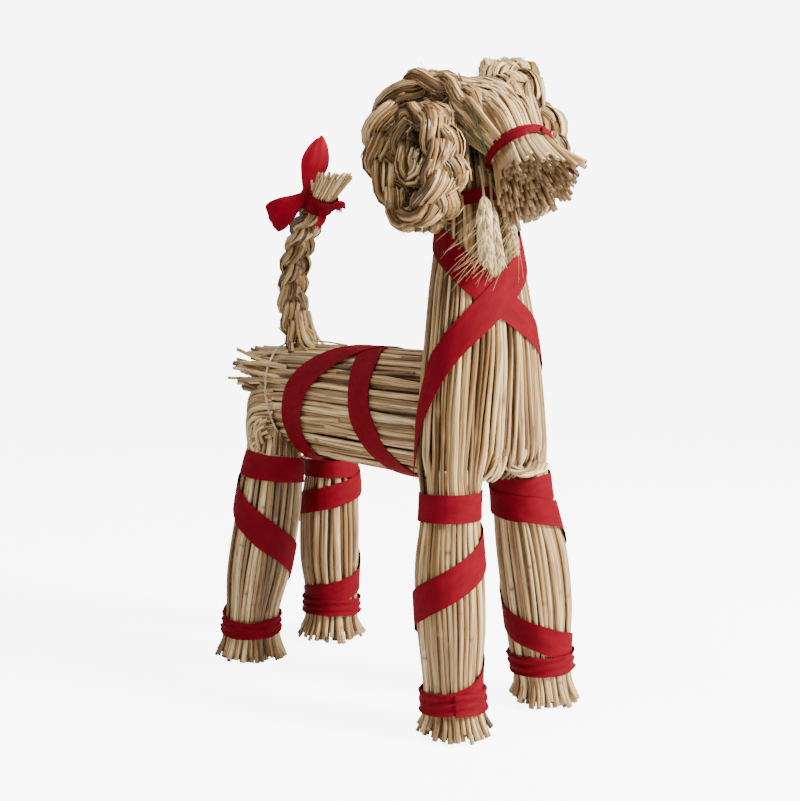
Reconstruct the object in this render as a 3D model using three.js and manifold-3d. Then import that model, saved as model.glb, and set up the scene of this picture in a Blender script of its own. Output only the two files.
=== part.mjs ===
// Straw goat ornament: bundles of straw bound with red ribbon, plaited horns and
// tail, a flared muzzle and ears of wheat.  Millimetres, +Z up, the goat faces -Y
// and its right side is -X.  The finished group is set down on Z = 0 with the
// centre of its box on the Z axis.
import * as THREE from 'three';
import Module from 'manifold-3d';

// ---- driving dimensions ----------------------------------------------------
const CLEARANCE = 0.4;            // air left between two bundles that meet
const RIBBON_WIDTH = 22;          // flat width of the red ribbon
const RIBBON_THICKNESS = 0.9;     // modelled thickness of one layer of ribbon
const RIBBON_GAP = 1.2;           // air between a bundle's ridges and the ribbon
const LAYER_PITCH = 1.3;          // radial step where the ribbon crosses itself
const RING_STEP = 22.5;           // degrees between two columns of a wound ribbon
const CHEST_BOTTOM = 178.6;       // the chest bundle stands on the front legs here
const LEG_TOP = 178.2;            // flat top of both front legs

// leg sections: x, y, z, radius
const FRONT_RIGHT = [
  [-50, -125, 0, 27], [-50, -124, 16, 23], [-49, -122, 28, 22.5], [-48, -119, 80, 26],
  [-46, -115, 120, 25.5], [-42, -112, 158, 22.5], [-40, -111, LEG_TOP, 22.5]];
const FRONT_LEFT = [
  [50, -123, 0, 26], [50, -122, 16, 23], [50, -120, 28, 23.5], [50, -115, 80, 28],
  [47, -111, 120, 28], [41, -108, 160, 24], [38, -108, LEG_TOP, 23.5]];
const HIND_RIGHT = [
  [-47, 125, 0, 29], [-47, 124, 18, 26], [-47, 123, 30, 24], [-42, 119, 80, 28],
  [-37, 115, 120, 29], [-33, 110, 173, 26], [-26, 116, 190, 22], [-22, 120, 210, 21],
  [-20, 124, 229, 16]];
const HIND_LEFT = [
  [46, 124, 0, 28], [46, 123, 18, 24], [46, 122, 30, 24], [40, 118, 80, 27],
  [36, 115, 120, 27], [33, 110, 173, 25], [26, 116, 190, 22], [22, 120, 210, 21],
  [20, 124, 229, 16]];

// chest and neck sections: z, centre y, half width, half depth, roundness
const CHEST = [
  [CHEST_BOTTOM, -105, 60, 29, 2.8], [196, -105, 58.5, 32.5, 2.6], [232, -104, 56, 35, 2.3],
  [280, -103, 50, 36, 2], [320, -100, 42, 34, 2], [350, -98, 35, 31, 2],
  [376, -96, 31, 27, 2], [404, -96, 27, 22, 2], [426, -94, 20, 13, 2]];

// trunk sections: y, centre z, half width, half height, lean of the section
const TRUNK = [
  [-96, 224, 39, 48, 0], [-40, 224, 39.5, 48.5, 0], [20, 224, 39.5, 48.5, 0],
  [80, 224, 39, 48.5, 0.15], [113, 224, 38.5, 48, 0.3], [124, 238, 38, 34, 0.3],
  [140, 247, 40, 27, 0.2], [156, 251, 42, 22, 0]];

// head sections: centre y, z, half width, half depth, tilt of the half depth in degrees
const HEAD = [
  [-77, 437, 15, 11, 30], [-83, 447, 22, 17, 49], [-96, 454, 26, 20, 81],
  [-110, 451, 26, 21, 114], [-124, 439, 24.5, 21.5, 139], [-137, 420, 22, 22, 147],
  [-148, 403, 26.5, 26.5, 143], [-159, 386, 31, 33, 139.5]];
const TWINE_STATION = 108;        // where the twine goes round the trunk
const TWINE_PUSH = 1.65;          // from the trunk's ridges to the middle of the twine
const MUZZLE_TIE = 5;             // head section that carries the muzzle ribbon

// horn centre lines, right side: x, y, z, then the lean of the plait's flat width
const HORN_PATH = [
  [-9, -115, 447, 0.8], [-19, -102, 461, 0.65], [-32, -87, 469, 0.35], [-44, -70, 463, 0.05],
  [-51, -62, 440, 0], [-54, -62, 410, 0], [-55, -70, 383, 0], [-54.5, -89, 369.5, 0],
  [-53, -107, 377, 0], [-51.5, -115, 397, 0], [-51, -114.5, 420, 0], [-51, -107, 437, 0],
  [-52, -96, 445, 0], [-53, -87, 438, 0], [-54, -85, 422, 0], [-54, -88, 406, 0],
  [-53, -95, 399, 0], [-52, -100, 404, 0]];
const HORN_HALF_WIDTH = 22;
const HORN_HALF_DEPTH = 9.6;
const HORN_PITCH = 66;            // length of one full turn of a strand
const LEFT_HORN_STRETCH = 1.09;   // the left horn is a little taller
const LEFT_HORN_LIFT = -28;

// tail centre line: y, z
const TAIL_PATH = [
  [109, 273.5], [116, 295], [117, 318], [111, 347], [99, 373], [83, 393], [68, 410]];
const TAIL_HALF_WIDTH = 14.5;
const TAIL_HALF_DEPTH = 10;
const TAIL_PITCH = 52;
const TIE_ALONG_TAIL = 0.85;     // where the bow is tied, as a share of the tail's length

// ---- materials ---------------------------------------------------------------
const STRAW = 0xd2bd92;
const RIBBON = 0xa81522;
const TWINE = 0xe4dcc4;
const WHEAT = 0xdccb9c;

const rad = THREE.MathUtils.degToRad;
const lerp = THREE.MathUtils.lerp;
const X = new THREE.Vector3(1, 0, 0);

// ---- bundles: a list of sections, each with a centre, two axes and half sizes --
function legBundle(rows) {
  const sections = rows.map(([x, y, z, r]) => ({
    at: z, centre: new THREE.Vector3(x, y, z), u: X,
    v: new THREE.Vector3(0, 1, 0), a: r, b: r, power: 2 }));
  return sections;
}

function chestBundle(rows) {
  return rows.map(([z, y, a, b, power]) => ({
    at: z, centre: new THREE.Vector3(0, y, z), u: X,
    v: new THREE.Vector3(0, 1, 0), a, b, power }));
}

function trunkBundle(rows) {
  return rows.map(([y, z, a, b, lean]) => ({
    at: y, centre: new THREE.Vector3(0, y, z), u: new THREE.Vector3(-1, 0, 0),
    v: new THREE.Vector3(0, lean, 1), a, b, power: 2 }));
}

function headBundle(rows) {
  return rows.map(([y, z, a, b, tilt], i) => ({
    at: i, centre: new THREE.Vector3(0, y, z), u: X,
    v: new THREE.Vector3(0, Math.cos(rad(tilt)), Math.sin(rad(tilt))),
    a, b, power: 2 }));
}

// the section of a bundle at any station, straight between the listed ones
function sectionAt(bundle, at) {
  let k = 0;
  while (k < bundle.length - 2 && at > bundle[k + 1].at) {
    k += 1;
  }
  const lower = bundle[k];
  const upper = bundle[k + 1];
  const t = (at - lower.at) / (upper.at - lower.at);
  return {
    centre: lower.centre.clone().lerp(upper.centre, t),
    u: lower.u.clone().lerp(upper.u, t),
    v: lower.v.clone().lerp(upper.v, t),
    a: lerp(lower.a, upper.a, t),
    b: lerp(lower.b, upper.b, t),
    power: lerp(lower.power, upper.power, t) };
}

// a point of a section's rim at an angle in degrees, pushed out along the normal
function rimPoint(section, degrees, push, factor = 1) {
  const c = Math.cos(rad(degrees));
  const s = Math.sin(rad(degrees));
  const e = 2 / section.power;
  const p = section.a * Math.sign(c) * Math.abs(c) ** e;
  const q = section.b * Math.sign(s) * Math.abs(s) ** e;
  let nx = Math.sign(p) * Math.abs(p / section.a) ** (section.power - 1) / section.a;
  let ny = Math.sign(q) * Math.abs(q / section.b) ** (section.power - 1) / section.b;
  const n = Math.hypot(nx, ny);
  nx /= n;
  ny /= n;
  return section.centre.clone()
    .addScaledVector(section.u, p * factor + nx * push)
    .addScaledVector(section.v, q * factor + ny * push);
}

// ---- meshes ------------------------------------------------------------------
function bufferOf(points, faces) {
  const geometry = new THREE.BufferGeometry();
  const flat = points.flatMap((p) => [p.x, p.y, p.z]);
  geometry.setAttribute('position', new THREE.Float32BufferAttribute(flat, 3));
  geometry.setIndex(faces.flat());
  return geometry;
}

// skin a row of equal rings; open ends are closed with a fan about their middle
function skin(rings, closed = false, dish = [0, 0]) {
  const count = rings[0].length;
  const points = rings.flat();
  const faces = [];
  const spans = closed ? rings.length : rings.length - 1;
  for (let i = 0; i < spans; i += 1) {
    const here = i * count;
    const next = ((i + 1) % rings.length) * count;
    for (let j = 0; j < count; j += 1) {
      const k = (j + 1) % count;
      faces.push([here + j, here + k, next + k], [here + j, next + k, next + j]);
    }
  }
  if (!closed) {
    for (const end of [0, 1]) {
      const ring = rings[end * (rings.length - 1)];
      const inward = rings[end ? rings.length - 2 : 1];
      const middle = new THREE.Vector3();
      const inner = new THREE.Vector3();
      ring.forEach((p) => middle.addScaledVector(p, 1 / count));
      inward.forEach((p) => inner.addScaledVector(p, 1 / count));
      middle.addScaledVector(inner.sub(middle).normalize(), dish[end]);
      const start = end * (rings.length - 1) * count;
      const tip = points.push(middle) - 1;
      for (let j = 0; j < count; j += 1) {
        const k = (j + 1) % count;
        faces.push(end ? [start + j, start + k, tip] : [start + k, start + j, tip]);
      }
    }
  }
  return bufferOf(points, faces);
}

// a fluted bundle of straw; `ragged` moves every other ridge of the last ring
function bundleBody(bundle, flutes, depth, ragged = 0, dish = [0, 0]) {
  const rings = bundle.map((section, i) => {
    const ring = [];
    const last = i === bundle.length - 1;
    const along = section.centre.clone().sub(bundle[Math.max(i - 1, 0)].centre).normalize();
    for (let j = 0; j < flutes * 2; j += 1) {
      const factor = j % 2 ? 1 - depth / section.a : 1;
      const point = rimPoint(section, j * 180 / flutes, 0, factor);
      if (last && ragged) {
        point.addScaledVector(along, -ragged * ((j * 7) % 5) / 4);
      }
      ring.push(point);
    }
    return ring;
  });
  return skin(rings, false, dish);
}

// the same bundle without flutes, a little fatter, used only as a cutter
function bundleCutter(bundle, push, sides) {
  const rings = bundle.map((section) => {
    const ring = [];
    for (let j = 0; j < sides; j += 1) {
      ring.push(rimPoint(section, j * 360 / sides, push));
    }
    return ring;
  });
  return skin(rings);
}

// ---- booleans ----------------------------------------------------------------
const wasm = await Module();
wasm.setup();

function toManifold(geometry) {
  const vertProperties = new Float32Array(geometry.getAttribute('position').array);
  const triVerts = new Uint32Array(geometry.getIndex().array);
  return new wasm.Manifold(new wasm.Mesh({ numProp: 3, vertProperties, triVerts }));
}

function fromManifold(solid) {
  const mesh = solid.getMesh();
  const geometry = new THREE.BufferGeometry();
  const flat = Array.from(mesh.vertProperties);
  geometry.setAttribute('position', new THREE.Float32BufferAttribute(flat, 3));
  geometry.setIndex(Array.from(mesh.triVerts));
  return geometry;
}

function cutAway(geometry, cutters) {
  let solid = toManifold(geometry);
  for (const cutter of cutters) {
    solid = solid.subtract(toManifold(cutter));
  }
  return fromManifold(solid);
}

function fuse(geometries) {
  let solid = toManifold(geometries[0]);
  for (const geometry of geometries.slice(1)) {
    solid = solid.add(toManifold(geometry));
  }
  return fromManifold(solid);
}

// ---- ribbons -----------------------------------------------------------------
// a value of a path of [angle, station, layer] rows at any angle
function along(path, angle) {
  let k = 0;
  const sense = Math.sign(path[path.length - 1][0] - path[0][0]);
  while (k < path.length - 2 && (angle - path[k + 1][0]) * sense > 0) {
    k += 1;
  }
  const t = (angle - path[k][0]) / (path[k + 1][0] - path[k][0]);
  return [lerp(path[k][1], path[k + 1][1], t), lerp(path[k][2], path[k + 1][2], t)];
}

// a ribbon wound on a bundle: columns run along the bundle, so it never cuts in
function woundRibbon(bundle, path, width, step = RING_STEP) {
  const first = path[0][0];
  const last = path[path.length - 1][0];
  const spans = Math.round(Math.abs(last - first) / step);
  const rings = [];
  for (let i = 0; i <= spans; i += 1) {
    const angle = lerp(first, last, i / spans);
    const [station, layer] = along(path, angle);
    const ahead = along(path, angle + 10)[0];
    const behind = along(path, angle - 10)[0];
    const radius = (sectionAt(bundle, station).a + sectionAt(bundle, station).b) / 2;
    const slope = (ahead - behind) / (radius * rad(20));
    const half = width / 2 * Math.min(Math.hypot(1, slope), 1.6);
    const push = RIBBON_GAP + layer * LAYER_PITCH;
    const low = sectionAt(bundle, station - half);
    const high = sectionAt(bundle, station + half);
    const ring = [
      rimPoint(low, angle, push), rimPoint(high, angle, push),
      rimPoint(high, angle, push + RIBBON_THICKNESS),
      rimPoint(low, angle, push + RIBBON_THICKNESS)];
    rings.push(ring);
  }
  const backwards = last < first;
  return skin(backwards ? rings.reverse() : rings);
}

// a small closed ball, six sided, for a knot
function weldedBall(centre, radius) {
  const rings = [-0.9, -0.5, 0, 0.5, 0.9].map((level) => {
    const ring = [];
    for (let j = 0; j < 6; j += 1) {
      const r = radius * Math.sqrt(1 - level * level);
      const angle = j * Math.PI / 3;
      ring.push(new THREE.Vector3(r * Math.cos(angle), r * Math.sin(angle), radius * level)
        .add(centre));
    }
    return ring;
  });
  return skin(rings);
}

// a free strip of ribbon through a list of points, its width along `across`
function freeRibbon(points, across, widths, thickness) {
  const rings = points.map((point, i) => {
    const before = points[Math.max(i - 1, 0)];
    const after = points[Math.min(i + 1, points.length - 1)];
    const tangent = after.clone().sub(before).normalize();
    const side = across.clone().addScaledVector(tangent, -across.dot(tangent)).normalize();
    const face = tangent.clone().cross(side).normalize();
    const w = widths[i] / 2;
    const h = thickness / 2;
    const corner = (a, b) => point.clone().addScaledVector(side, a).addScaledVector(face, b);
    return [corner(-w, -h), corner(w, -h), corner(w, h), corner(-w, h)];
  });
  return skin(rings);
}

// ---- plaits ------------------------------------------------------------------
// outline of three strands weaving over and under, seen from the centre line
function plaitReach(phase, cx, cy, halfWidth, halfDepth) {
  const strandWidth = halfWidth * 0.44;
  const strandDepth = halfDepth * 0.62;
  const swing = halfWidth - strandWidth;
  const lift = halfDepth - strandDepth;
  let reach = strandDepth * 0.9;
  for (let k = 0; k < 3; k += 1) {
    const turn = phase + k * 2 * Math.PI / 3;
    const px = swing * Math.sin(turn);
    const py = lift * Math.sin(2 * turn);
    const width = strandWidth * (1 + 0.35 * Math.abs(Math.cos(turn)));
    const ax = cx / width;
    const ay = cy / strandDepth;
    const bx = px / width;
    const by = py / strandDepth;
    const aa = ax * ax + ay * ay;
    const ab = ax * bx + ay * by;
    const disc = ab * ab - aa * (bx * bx + by * by - 1);
    if (disc > 0) {
      reach = Math.max(reach, (ab + Math.sqrt(disc)) / aa);
    }
  }
  return reach;
}

// one solid plait along a curve; `lean` turns its flat width away from the X axis
function plait(curve, leans, sides, count, halfWidth, halfDepth, pitch, taper) {
  const length = curve.getLength();
  const rings = [];
  for (let i = 0; i <= count; i += 1) {
    const t = i / count;
    const centre = curve.getPointAt(t);
    const tangent = curve.getTangentAt(t);
    const lean = leans(t);
    const across = new THREE.Vector3(1, lean, 0);
    across.addScaledVector(tangent, -across.dot(tangent)).normalize();
    const face = tangent.clone().cross(across).normalize();
    const w = halfWidth * taper(t);
    const d = halfDepth * taper(t);
    const ring = [];
    for (let j = 0; j < sides; j += 1) {
      const angle = j * 2 * Math.PI / sides;
      const dx = w * Math.cos(angle);
      const dy = d * Math.sin(angle);
      const n = Math.hypot(dx, dy);
      const reach = plaitReach(2 * Math.PI * t * length / pitch, dx / n, dy / n, w, d);
      ring.push(centre.clone()
        .addScaledVector(across, reach * dx / n)
        .addScaledVector(face, reach * dy / n));
    }
    rings.push(ring);
  }
  return skin(rings);
}

function mirrored(geometry, stretch, lift) {
  const copy = geometry.clone();
  copy.scale(-1, 1, stretch);
  copy.translate(0, 0, lift);
  const index = Array.from(copy.getIndex().array);
  for (let i = 0; i < index.length; i += 3) {
    [index[i + 1], index[i + 2]] = [index[i + 2], index[i + 1]];
  }
  copy.setIndex(index);
  return copy;
}

// ---- wheat -------------------------------------------------------------------
// a stem that swells into an ear with a few rows of grain
function wheatEar(points, stemRadius, earRadius, rows) {
  const curve = new THREE.CatmullRomCurve3(points.map((p) => new THREE.Vector3(...p)));
  const rings = [];
  const stemRings = 4;
  const earStart = 0.42;
  const total = stemRings + rows * 2 + 1;
  for (let i = 0; i < total; i += 1) {
    const inEar = i >= stemRings;
    const t = inEar
      ? earStart + (1 - earStart) * (i - stemRings) / (rows * 2)
      : earStart * 0.97 * i / (stemRings - 1);
    const centre = curve.getPointAt(Math.min(t, 1));
    const tangent = curve.getTangentAt(Math.min(t, 1));
    const u = new THREE.Vector3(1, 0, 0).addScaledVector(tangent, -tangent.x).normalize();
    const v = tangent.clone().cross(u).normalize();
    let radius = stemRadius;
    if (inEar) {
      const k = (i - stemRings) / (rows * 2);
      const swell = Math.sin(Math.PI * Math.min(0.12 + k * 0.86, 1)) ** 0.6;
      radius = Math.max(earRadius * swell * (i % 2 ? 1 : 0.74), stemRadius);
    }
    const ring = [];
    for (let j = 0; j < 6; j += 1) {
      const angle = j * Math.PI / 3;
      ring.push(centre.clone()
        .addScaledVector(u, radius * Math.cos(angle))
        .addScaledVector(v, radius * 0.8 * Math.sin(angle)));
    }
    rings.push(ring);
  }
  return skin(rings);
}

// ---- assembly ----------------------------------------------------------------
const group = new THREE.Group();
group.name = 'straw_goat_ornament';

function addPart(name, geometry, colour, roughness) {
  geometry.computeVertexNormals();
  const material = new THREE.MeshStandardMaterial({ color: colour, roughness, metalness: 0 });
  material.name = name;
  const mesh = new THREE.Mesh(geometry, material);
  mesh.name = name;
  group.add(mesh);
}

const frontRight = legBundle(FRONT_RIGHT);
const frontLeft = legBundle(FRONT_LEFT);
const hindRight = legBundle(HIND_RIGHT);
const hindLeft = legBundle(HIND_LEFT);
const chest = chestBundle(CHEST);
const trunk = trunkBundle(TRUNK);
const head = headBundle(HEAD);

const chestCutter = bundleCutter(chest, CLEARANCE, 40);
const trunkCutter = bundleCutter(trunk, CLEARANCE, 32);
const headCutter = bundleCutter(head, CLEARANCE, 28);

addPart('chest_bundle',
  cutAway(bundleBody(chest, 24, 1.6), [bundleCutter(head, 3, 28)]), STRAW, 0.6);
addPart('front_leg_right', bundleBody(frontRight, 14, 1.5), STRAW, 0.6);
addPart('front_leg_left', bundleBody(frontLeft, 14, 1.5), STRAW, 0.6);
addPart('trunk_bundle', cutAway(bundleBody(trunk, 19, 1.6, 9), [chestCutter]), STRAW, 0.6);
const rumpCutters = [trunkCutter, twineRing(trunk, TWINE_STATION, 1.5, 24)];
addPart('hind_leg_right', cutAway(bundleBody(hindRight, 14, 1.5), rumpCutters), STRAW, 0.6);
addPart('hind_leg_left', cutAway(bundleBody(hindLeft, 14, 1.5), rumpCutters), STRAW, 0.6);
addPart('head_bundle', bundleBody(head, 15, 1.5, 6, [0, 6]), STRAW, 0.6);

const hornCurve = new THREE.CatmullRomCurve3(
  HORN_PATH.map(([x, y, z]) => new THREE.Vector3(x, y, z)), false, 'centripetal');
function hornLean(t) {
  const s = t * (HORN_PATH.length - 1);
  const k = Math.min(Math.floor(s), HORN_PATH.length - 2);
  return lerp(HORN_PATH[k][3], HORN_PATH[k + 1][3], s - k);
}
const hornTaper = (t) => 1 - 0.24 * Math.max(t - 0.45, 0) / 0.55;
const rightHorn = plait(
  hornCurve, hornLean, 12, 48, HORN_HALF_WIDTH, HORN_HALF_DEPTH, HORN_PITCH, hornTaper);
const halfCrown = [CLEARANCE / -2, 60].map((x) => [
  new THREE.Vector3(x, -160, 380), new THREE.Vector3(x, -40, 380),
  new THREE.Vector3(x, -40, 520), new THREE.Vector3(x, -160, 520)]);
const otherSide = skin(halfCrown);
const leftHorn = mirrored(cutAway(rightHorn, [otherSide]), LEFT_HORN_STRETCH, LEFT_HORN_LIFT);
addPart('horn_right', cutAway(rightHorn, [otherSide, headCutter]), STRAW, 0.6);
addPart('horn_left', cutAway(leftHorn, [headCutter]), STRAW, 0.6);

const tailCurve = new THREE.CatmullRomCurve3(
  TAIL_PATH.map(([y, z]) => new THREE.Vector3(0, y, z)));
const tailTaper = (t) => 1 - 0.16 * t + 0.1 * Math.max(t - 0.85, 0) / 0.15;
addPart('tail_plait',
  plait(tailCurve, () => 0, 8, 34, TAIL_HALF_WIDTH, TAIL_HALF_DEPTH, TAIL_PITCH, tailTaper),
  STRAW, 0.6);

// ribbons: angle about the bundle, station along it, layer
const FRONT_RIGHT_WINDING = [
  [497, 164, 0], [137, 164, 0.15], [120, 163, 1], [47, 152, 1], [-43, 136, 1], [-90, 124, 0],
  [-223, 89.5, 0], [-313, 65, 0], [-403, 41, 0], [-450, 29, 0], [-493, 23, 0],
  [-740, 22, 0], [-760, 22, 1], [-853, 22, 1]];
const FRONT_LEFT_WINDING = [
  [-223, 167, 0], [92, 167, 0.1], [115, 163, 1], [137, 160, 1], [317, 144, 1], [365, 124, 0],
  [407, 107, 0], [497, 70, 0], [587, 55, 0], [677, 42, 0], [737, 32, 0],
  [767, 27, 0], [1020, 26, 0], [1040, 26, 1], [1127, 26, 1]];
const HIND_RIGHT_WINDING = [
  [-263, 161, 0], [37, 161, 0.1], [60, 160, 1], [97, 152, 1], [137, 141, 1], [200, 122, 0],
  [227, 113, 0], [317, 85, 0], [407, 57, 0], [467, 38, 0],
  [497, 30, 0], [750, 29, 0], [770, 29, 1], [857, 29, 1]];
const HIND_LEFT_WINDING = [
  [377, 161, 0], [77, 161, 0.1], [55, 160, 1], [17, 155, 1], [-43, 148, 1], [-150, 135, 1],
  [-223, 126, 0], [-313, 95, 0], [-403, 60, 0], [-583, 38, 0], [-633, 29, 0],
  [-890, 28, 0], [-910, 28, 1], [-993, 28, 1]];
const ringWidth = RIBBON_WIDTH - 2;
addPart('ribbon_front_leg_right',
  woundRibbon(frontRight, FRONT_RIGHT_WINDING, ringWidth), RIBBON, 0.75);
addPart('ribbon_front_leg_left',
  woundRibbon(frontLeft, FRONT_LEFT_WINDING, ringWidth), RIBBON, 0.75);
addPart('ribbon_hind_leg_right',
  woundRibbon(hindRight, HIND_RIGHT_WINDING, ringWidth), RIBBON, 0.75);
addPart('ribbon_hind_leg_left',
  woundRibbon(hindLeft, HIND_LEFT_WINDING, ringWidth), RIBBON, 0.75);

const CHEST_BAND_DOWN_RIGHT = [
  [195, 397, 0.4], [137, 384, 0.4], [47, 366, 0.4], [-43, 348, 0.4], [-110, 313, 0.4],
  [-165, 278, 0.4], [-210, 248, 0.4], [-225, 215, 0.4]];
const CHEST_BAND_DOWN_LEFT = [
  [-330, 382, 0], [-300, 372, 0], [-223, 343, 0], [-110, 313, 0], [-43, 279, 0],
  [15, 245, 0], [35, 225, 0], [45, 210, 0]];
addPart('ribbon_chest', fuse([
  woundRibbon(chest, CHEST_BAND_DOWN_LEFT, RIBBON_WIDTH, 15),
  woundRibbon(chest, CHEST_BAND_DOWN_RIGHT, RIBBON_WIDTH, 15)]), RIBBON, 0.75);

const TRUNK_BAND = [
  [-105, -52, 0], [-90, -48, 0], [-30, -18, 0], [0, -6, 0], [90, 21, 0], [165, 73, 0],
  [200, 80, 0], [230, 76, 0], [285, 73, 0]];
const mirrorBand = (row) => [180 - row[0], row[1], 0.4];
addPart('ribbon_trunk', fuse([
  woundRibbon(trunk, TRUNK_BAND, RIBBON_WIDTH, 15),
  woundRibbon(trunk, TRUNK_BAND.map(mirrorBand), RIBBON_WIDTH, 15)]), RIBBON, 0.75);

// muzzle ribbon: a narrow closed ring on the tie section of the head
function closedRing(bundle, from, to, push, thickness, count) {
  const rings = [];
  for (let i = 0; i < count; i += 1) {
    const angle = i * 360 / count;
    const low = sectionAt(bundle, from);
    const high = sectionAt(bundle, to);
    rings.push([
      rimPoint(low, angle, push), rimPoint(high, angle, push),
      rimPoint(high, angle, push + thickness), rimPoint(low, angle, push + thickness)]);
  }
  return skin(rings, true);
}
addPart('ribbon_muzzle',
  closedRing(head, MUZZLE_TIE - 0.22, MUZZLE_TIE + 0.22, 0.9, 1.6, 24), RIBBON, 0.75);

// twine round the rump, in the leaning plane of the last full trunk section
function twineRing(bundle, at, radius, count) {
  const section = sectionAt(bundle, at);
  const rings = [];
  for (let i = 0; i < count; i += 1) {
    const angle = i * 360 / count;
    const middle = rimPoint(section, angle, TWINE_PUSH);
    const out = rimPoint(section, angle, TWINE_PUSH + 1).sub(middle);
    const ring = [];
    for (let j = 0; j < 5; j += 1) {
      const turn = j * 2 * Math.PI / 5;
      const point = middle.clone().addScaledVector(out, radius * Math.cos(turn));
      point.y -= radius * Math.sin(turn);
      ring.push(point);
    }
    rings.push(ring);
  }
  return skin(rings, true);
}
addPart('twine_rump', twineRing(trunk, TWINE_STATION, 0.9, 24), TWINE, 0.8);

// bow on the tail: a tie round the plait, a knot, two loops and two short ends
const tieAxis = tailCurve.getTangentAt(TIE_ALONG_TAIL);
const tieCentre = tailCurve.getPointAt(TIE_ALONG_TAIL);
const tieDepth = new THREE.Vector3().crossVectors(tieAxis, X).normalize();

// a point about the tail at the tie: sideways, towards the rump side, along the tail
function aboutTail(sideways, rearward, upward) {
  return tieCentre.clone()
    .addScaledVector(X, sideways)
    .addScaledVector(tieDepth, rearward)
    .addScaledVector(tieAxis, upward);
}

function tieRing() {
  const rings = [];
  for (let i = 0; i < 20; i += 1) {
    const c = Math.cos(i * Math.PI / 10);
    const s = Math.sin(i * Math.PI / 10);
    const inner = 0.8;
    const outer = 2.6;
    rings.push([
      aboutTail((TAIL_HALF_WIDTH + outer) * c, (TAIL_HALF_DEPTH + outer) * s, -6),
      aboutTail((TAIL_HALF_WIDTH + inner) * c, (TAIL_HALF_DEPTH + inner) * s, -6),
      aboutTail((TAIL_HALF_WIDTH + inner) * c, (TAIL_HALF_DEPTH + inner) * s, 6),
      aboutTail((TAIL_HALF_WIDTH + outer) * c, (TAIL_HALF_DEPTH + outer) * s, 6)]);
  }
  return skin(rings, true);
}

const knot = aboutTail(-14.5, 11, 0);
// a loop runs out from the knot along `reach` and back, opening along `spread`
function bowLoop(reach, spread, across, rows) {
  const centres = rows.map(([out, aside]) => knot.clone()
    .addScaledVector(reach, out)
    .addScaledVector(spread, aside));
  return freeRibbon(centres, across, [7, 14, 20, 21, 20, 14, 7], 1.5);
}
const UP = new THREE.Vector3(0, 0, 1);
const spreadWay = new THREE.Vector3(0.685, 0.728, 0);
const flatWay = new THREE.Vector3(0.728, -0.685, 0);
const sideReach = new THREE.Vector3(-0.593, 0.558, -0.58);
const sideFlat = new THREE.Vector3(0.42, -0.4, -0.815);
const upperLoop = bowLoop(UP, spreadWay, flatWay,
  [[2, 0], [14, -8], [30, -9], [46, 0], [30, 9], [14, 7], [3, 1]]);
const sideLoop = bowLoop(sideReach, spreadWay, sideFlat,
  [[0, -1], [13, -8], [27, -9], [39, 0], [27, 9], [13, 7], [0, 2]]);
const frontOfTie = -TAIL_HALF_DEPTH - 1.8;
const shortEnd = freeRibbon(
  [aboutTail(3, frontOfTie + 0.8, 0), aboutTail(10, frontOfTie - 4, 5),
    aboutTail(18, frontOfTie - 7, 3)],
  tieAxis, [8, 11, 13], 1.5);
const hangingEnd = freeRibbon(
  [aboutTail(-4, frontOfTie + 0.8, 3), aboutTail(-4, frontOfTie - 4, -8),
    aboutTail(-1, frontOfTie - 3, -19)],
  X, [8, 11, 13], 1.5);
addPart('ribbon_tail_bow', fuse([
  tieRing(), weldedBall(knot, 5.5), upperLoop, sideLoop, shortEnd, hangingEnd]),
  RIBBON, 0.75);

const EARS = [
  [[-24, -122, 407], [-29, -127, 392], [-32, -129, 384], [-33, -131, 352], [-33, -133, 334]],
  [[-15, -124, 402], [-19, -129, 391], [-21, -132, 384], [-21, -137, 352], [-21, -140, 333]],
  [[-13, -120, 396], [-17, -126, 382], [-15, -131, 368], [-10, -139, 350], [-8, -144, 322]]];
EARS.forEach((rows, i) => {
  addPart(`wheat_ear_${i + 1}`, wheatEar(rows, 1.1, 5.4, 5), WHEAT, 0.7);
});

// ---- set the goat down on Z = 0 with its box centred on the Z axis ---------------
const box = new THREE.Box3().setFromObject(group);
const middle = box.getCenter(new THREE.Vector3());
for (const mesh of group.children) {
  mesh.geometry.translate(-middle.x, -middle.y, -box.min.z);
}

export default group;
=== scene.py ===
"""Looks of the straw goat: every bundle, plait and ribbon is laid over its CAD solid."""

import math

import bpy
import mathutils
import numpy as np
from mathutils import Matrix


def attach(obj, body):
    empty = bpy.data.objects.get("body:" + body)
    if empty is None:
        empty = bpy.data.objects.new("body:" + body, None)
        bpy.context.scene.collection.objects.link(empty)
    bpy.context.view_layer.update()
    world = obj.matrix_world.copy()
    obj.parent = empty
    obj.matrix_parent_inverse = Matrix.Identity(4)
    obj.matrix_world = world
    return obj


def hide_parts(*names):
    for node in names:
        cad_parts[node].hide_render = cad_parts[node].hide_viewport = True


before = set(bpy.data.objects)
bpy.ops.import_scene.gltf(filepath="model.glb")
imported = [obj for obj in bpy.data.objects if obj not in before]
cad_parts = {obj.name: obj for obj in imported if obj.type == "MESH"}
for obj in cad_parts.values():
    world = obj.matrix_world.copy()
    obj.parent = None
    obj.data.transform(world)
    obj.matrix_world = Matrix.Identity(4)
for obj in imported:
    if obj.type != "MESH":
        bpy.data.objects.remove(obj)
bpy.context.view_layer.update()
SEED = 11
MM = 0.001
WIDTH = 22.0  # of the ribbon that goes round chest and trunk
THICK = 0.4
LEG_WIDTH = 20  # of the ribbons round the legs
HEAD_TIE = 5  # station of the head at the tie behind the muzzle
BACKDROP_GLOW = 7.0
WORLD_LIGHT = 0.11
# level directions from the camera: straight ahead, and to its right
AHEAD = (0.685, 0.728)
ASIDE = (0.728, -0.685)

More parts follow.
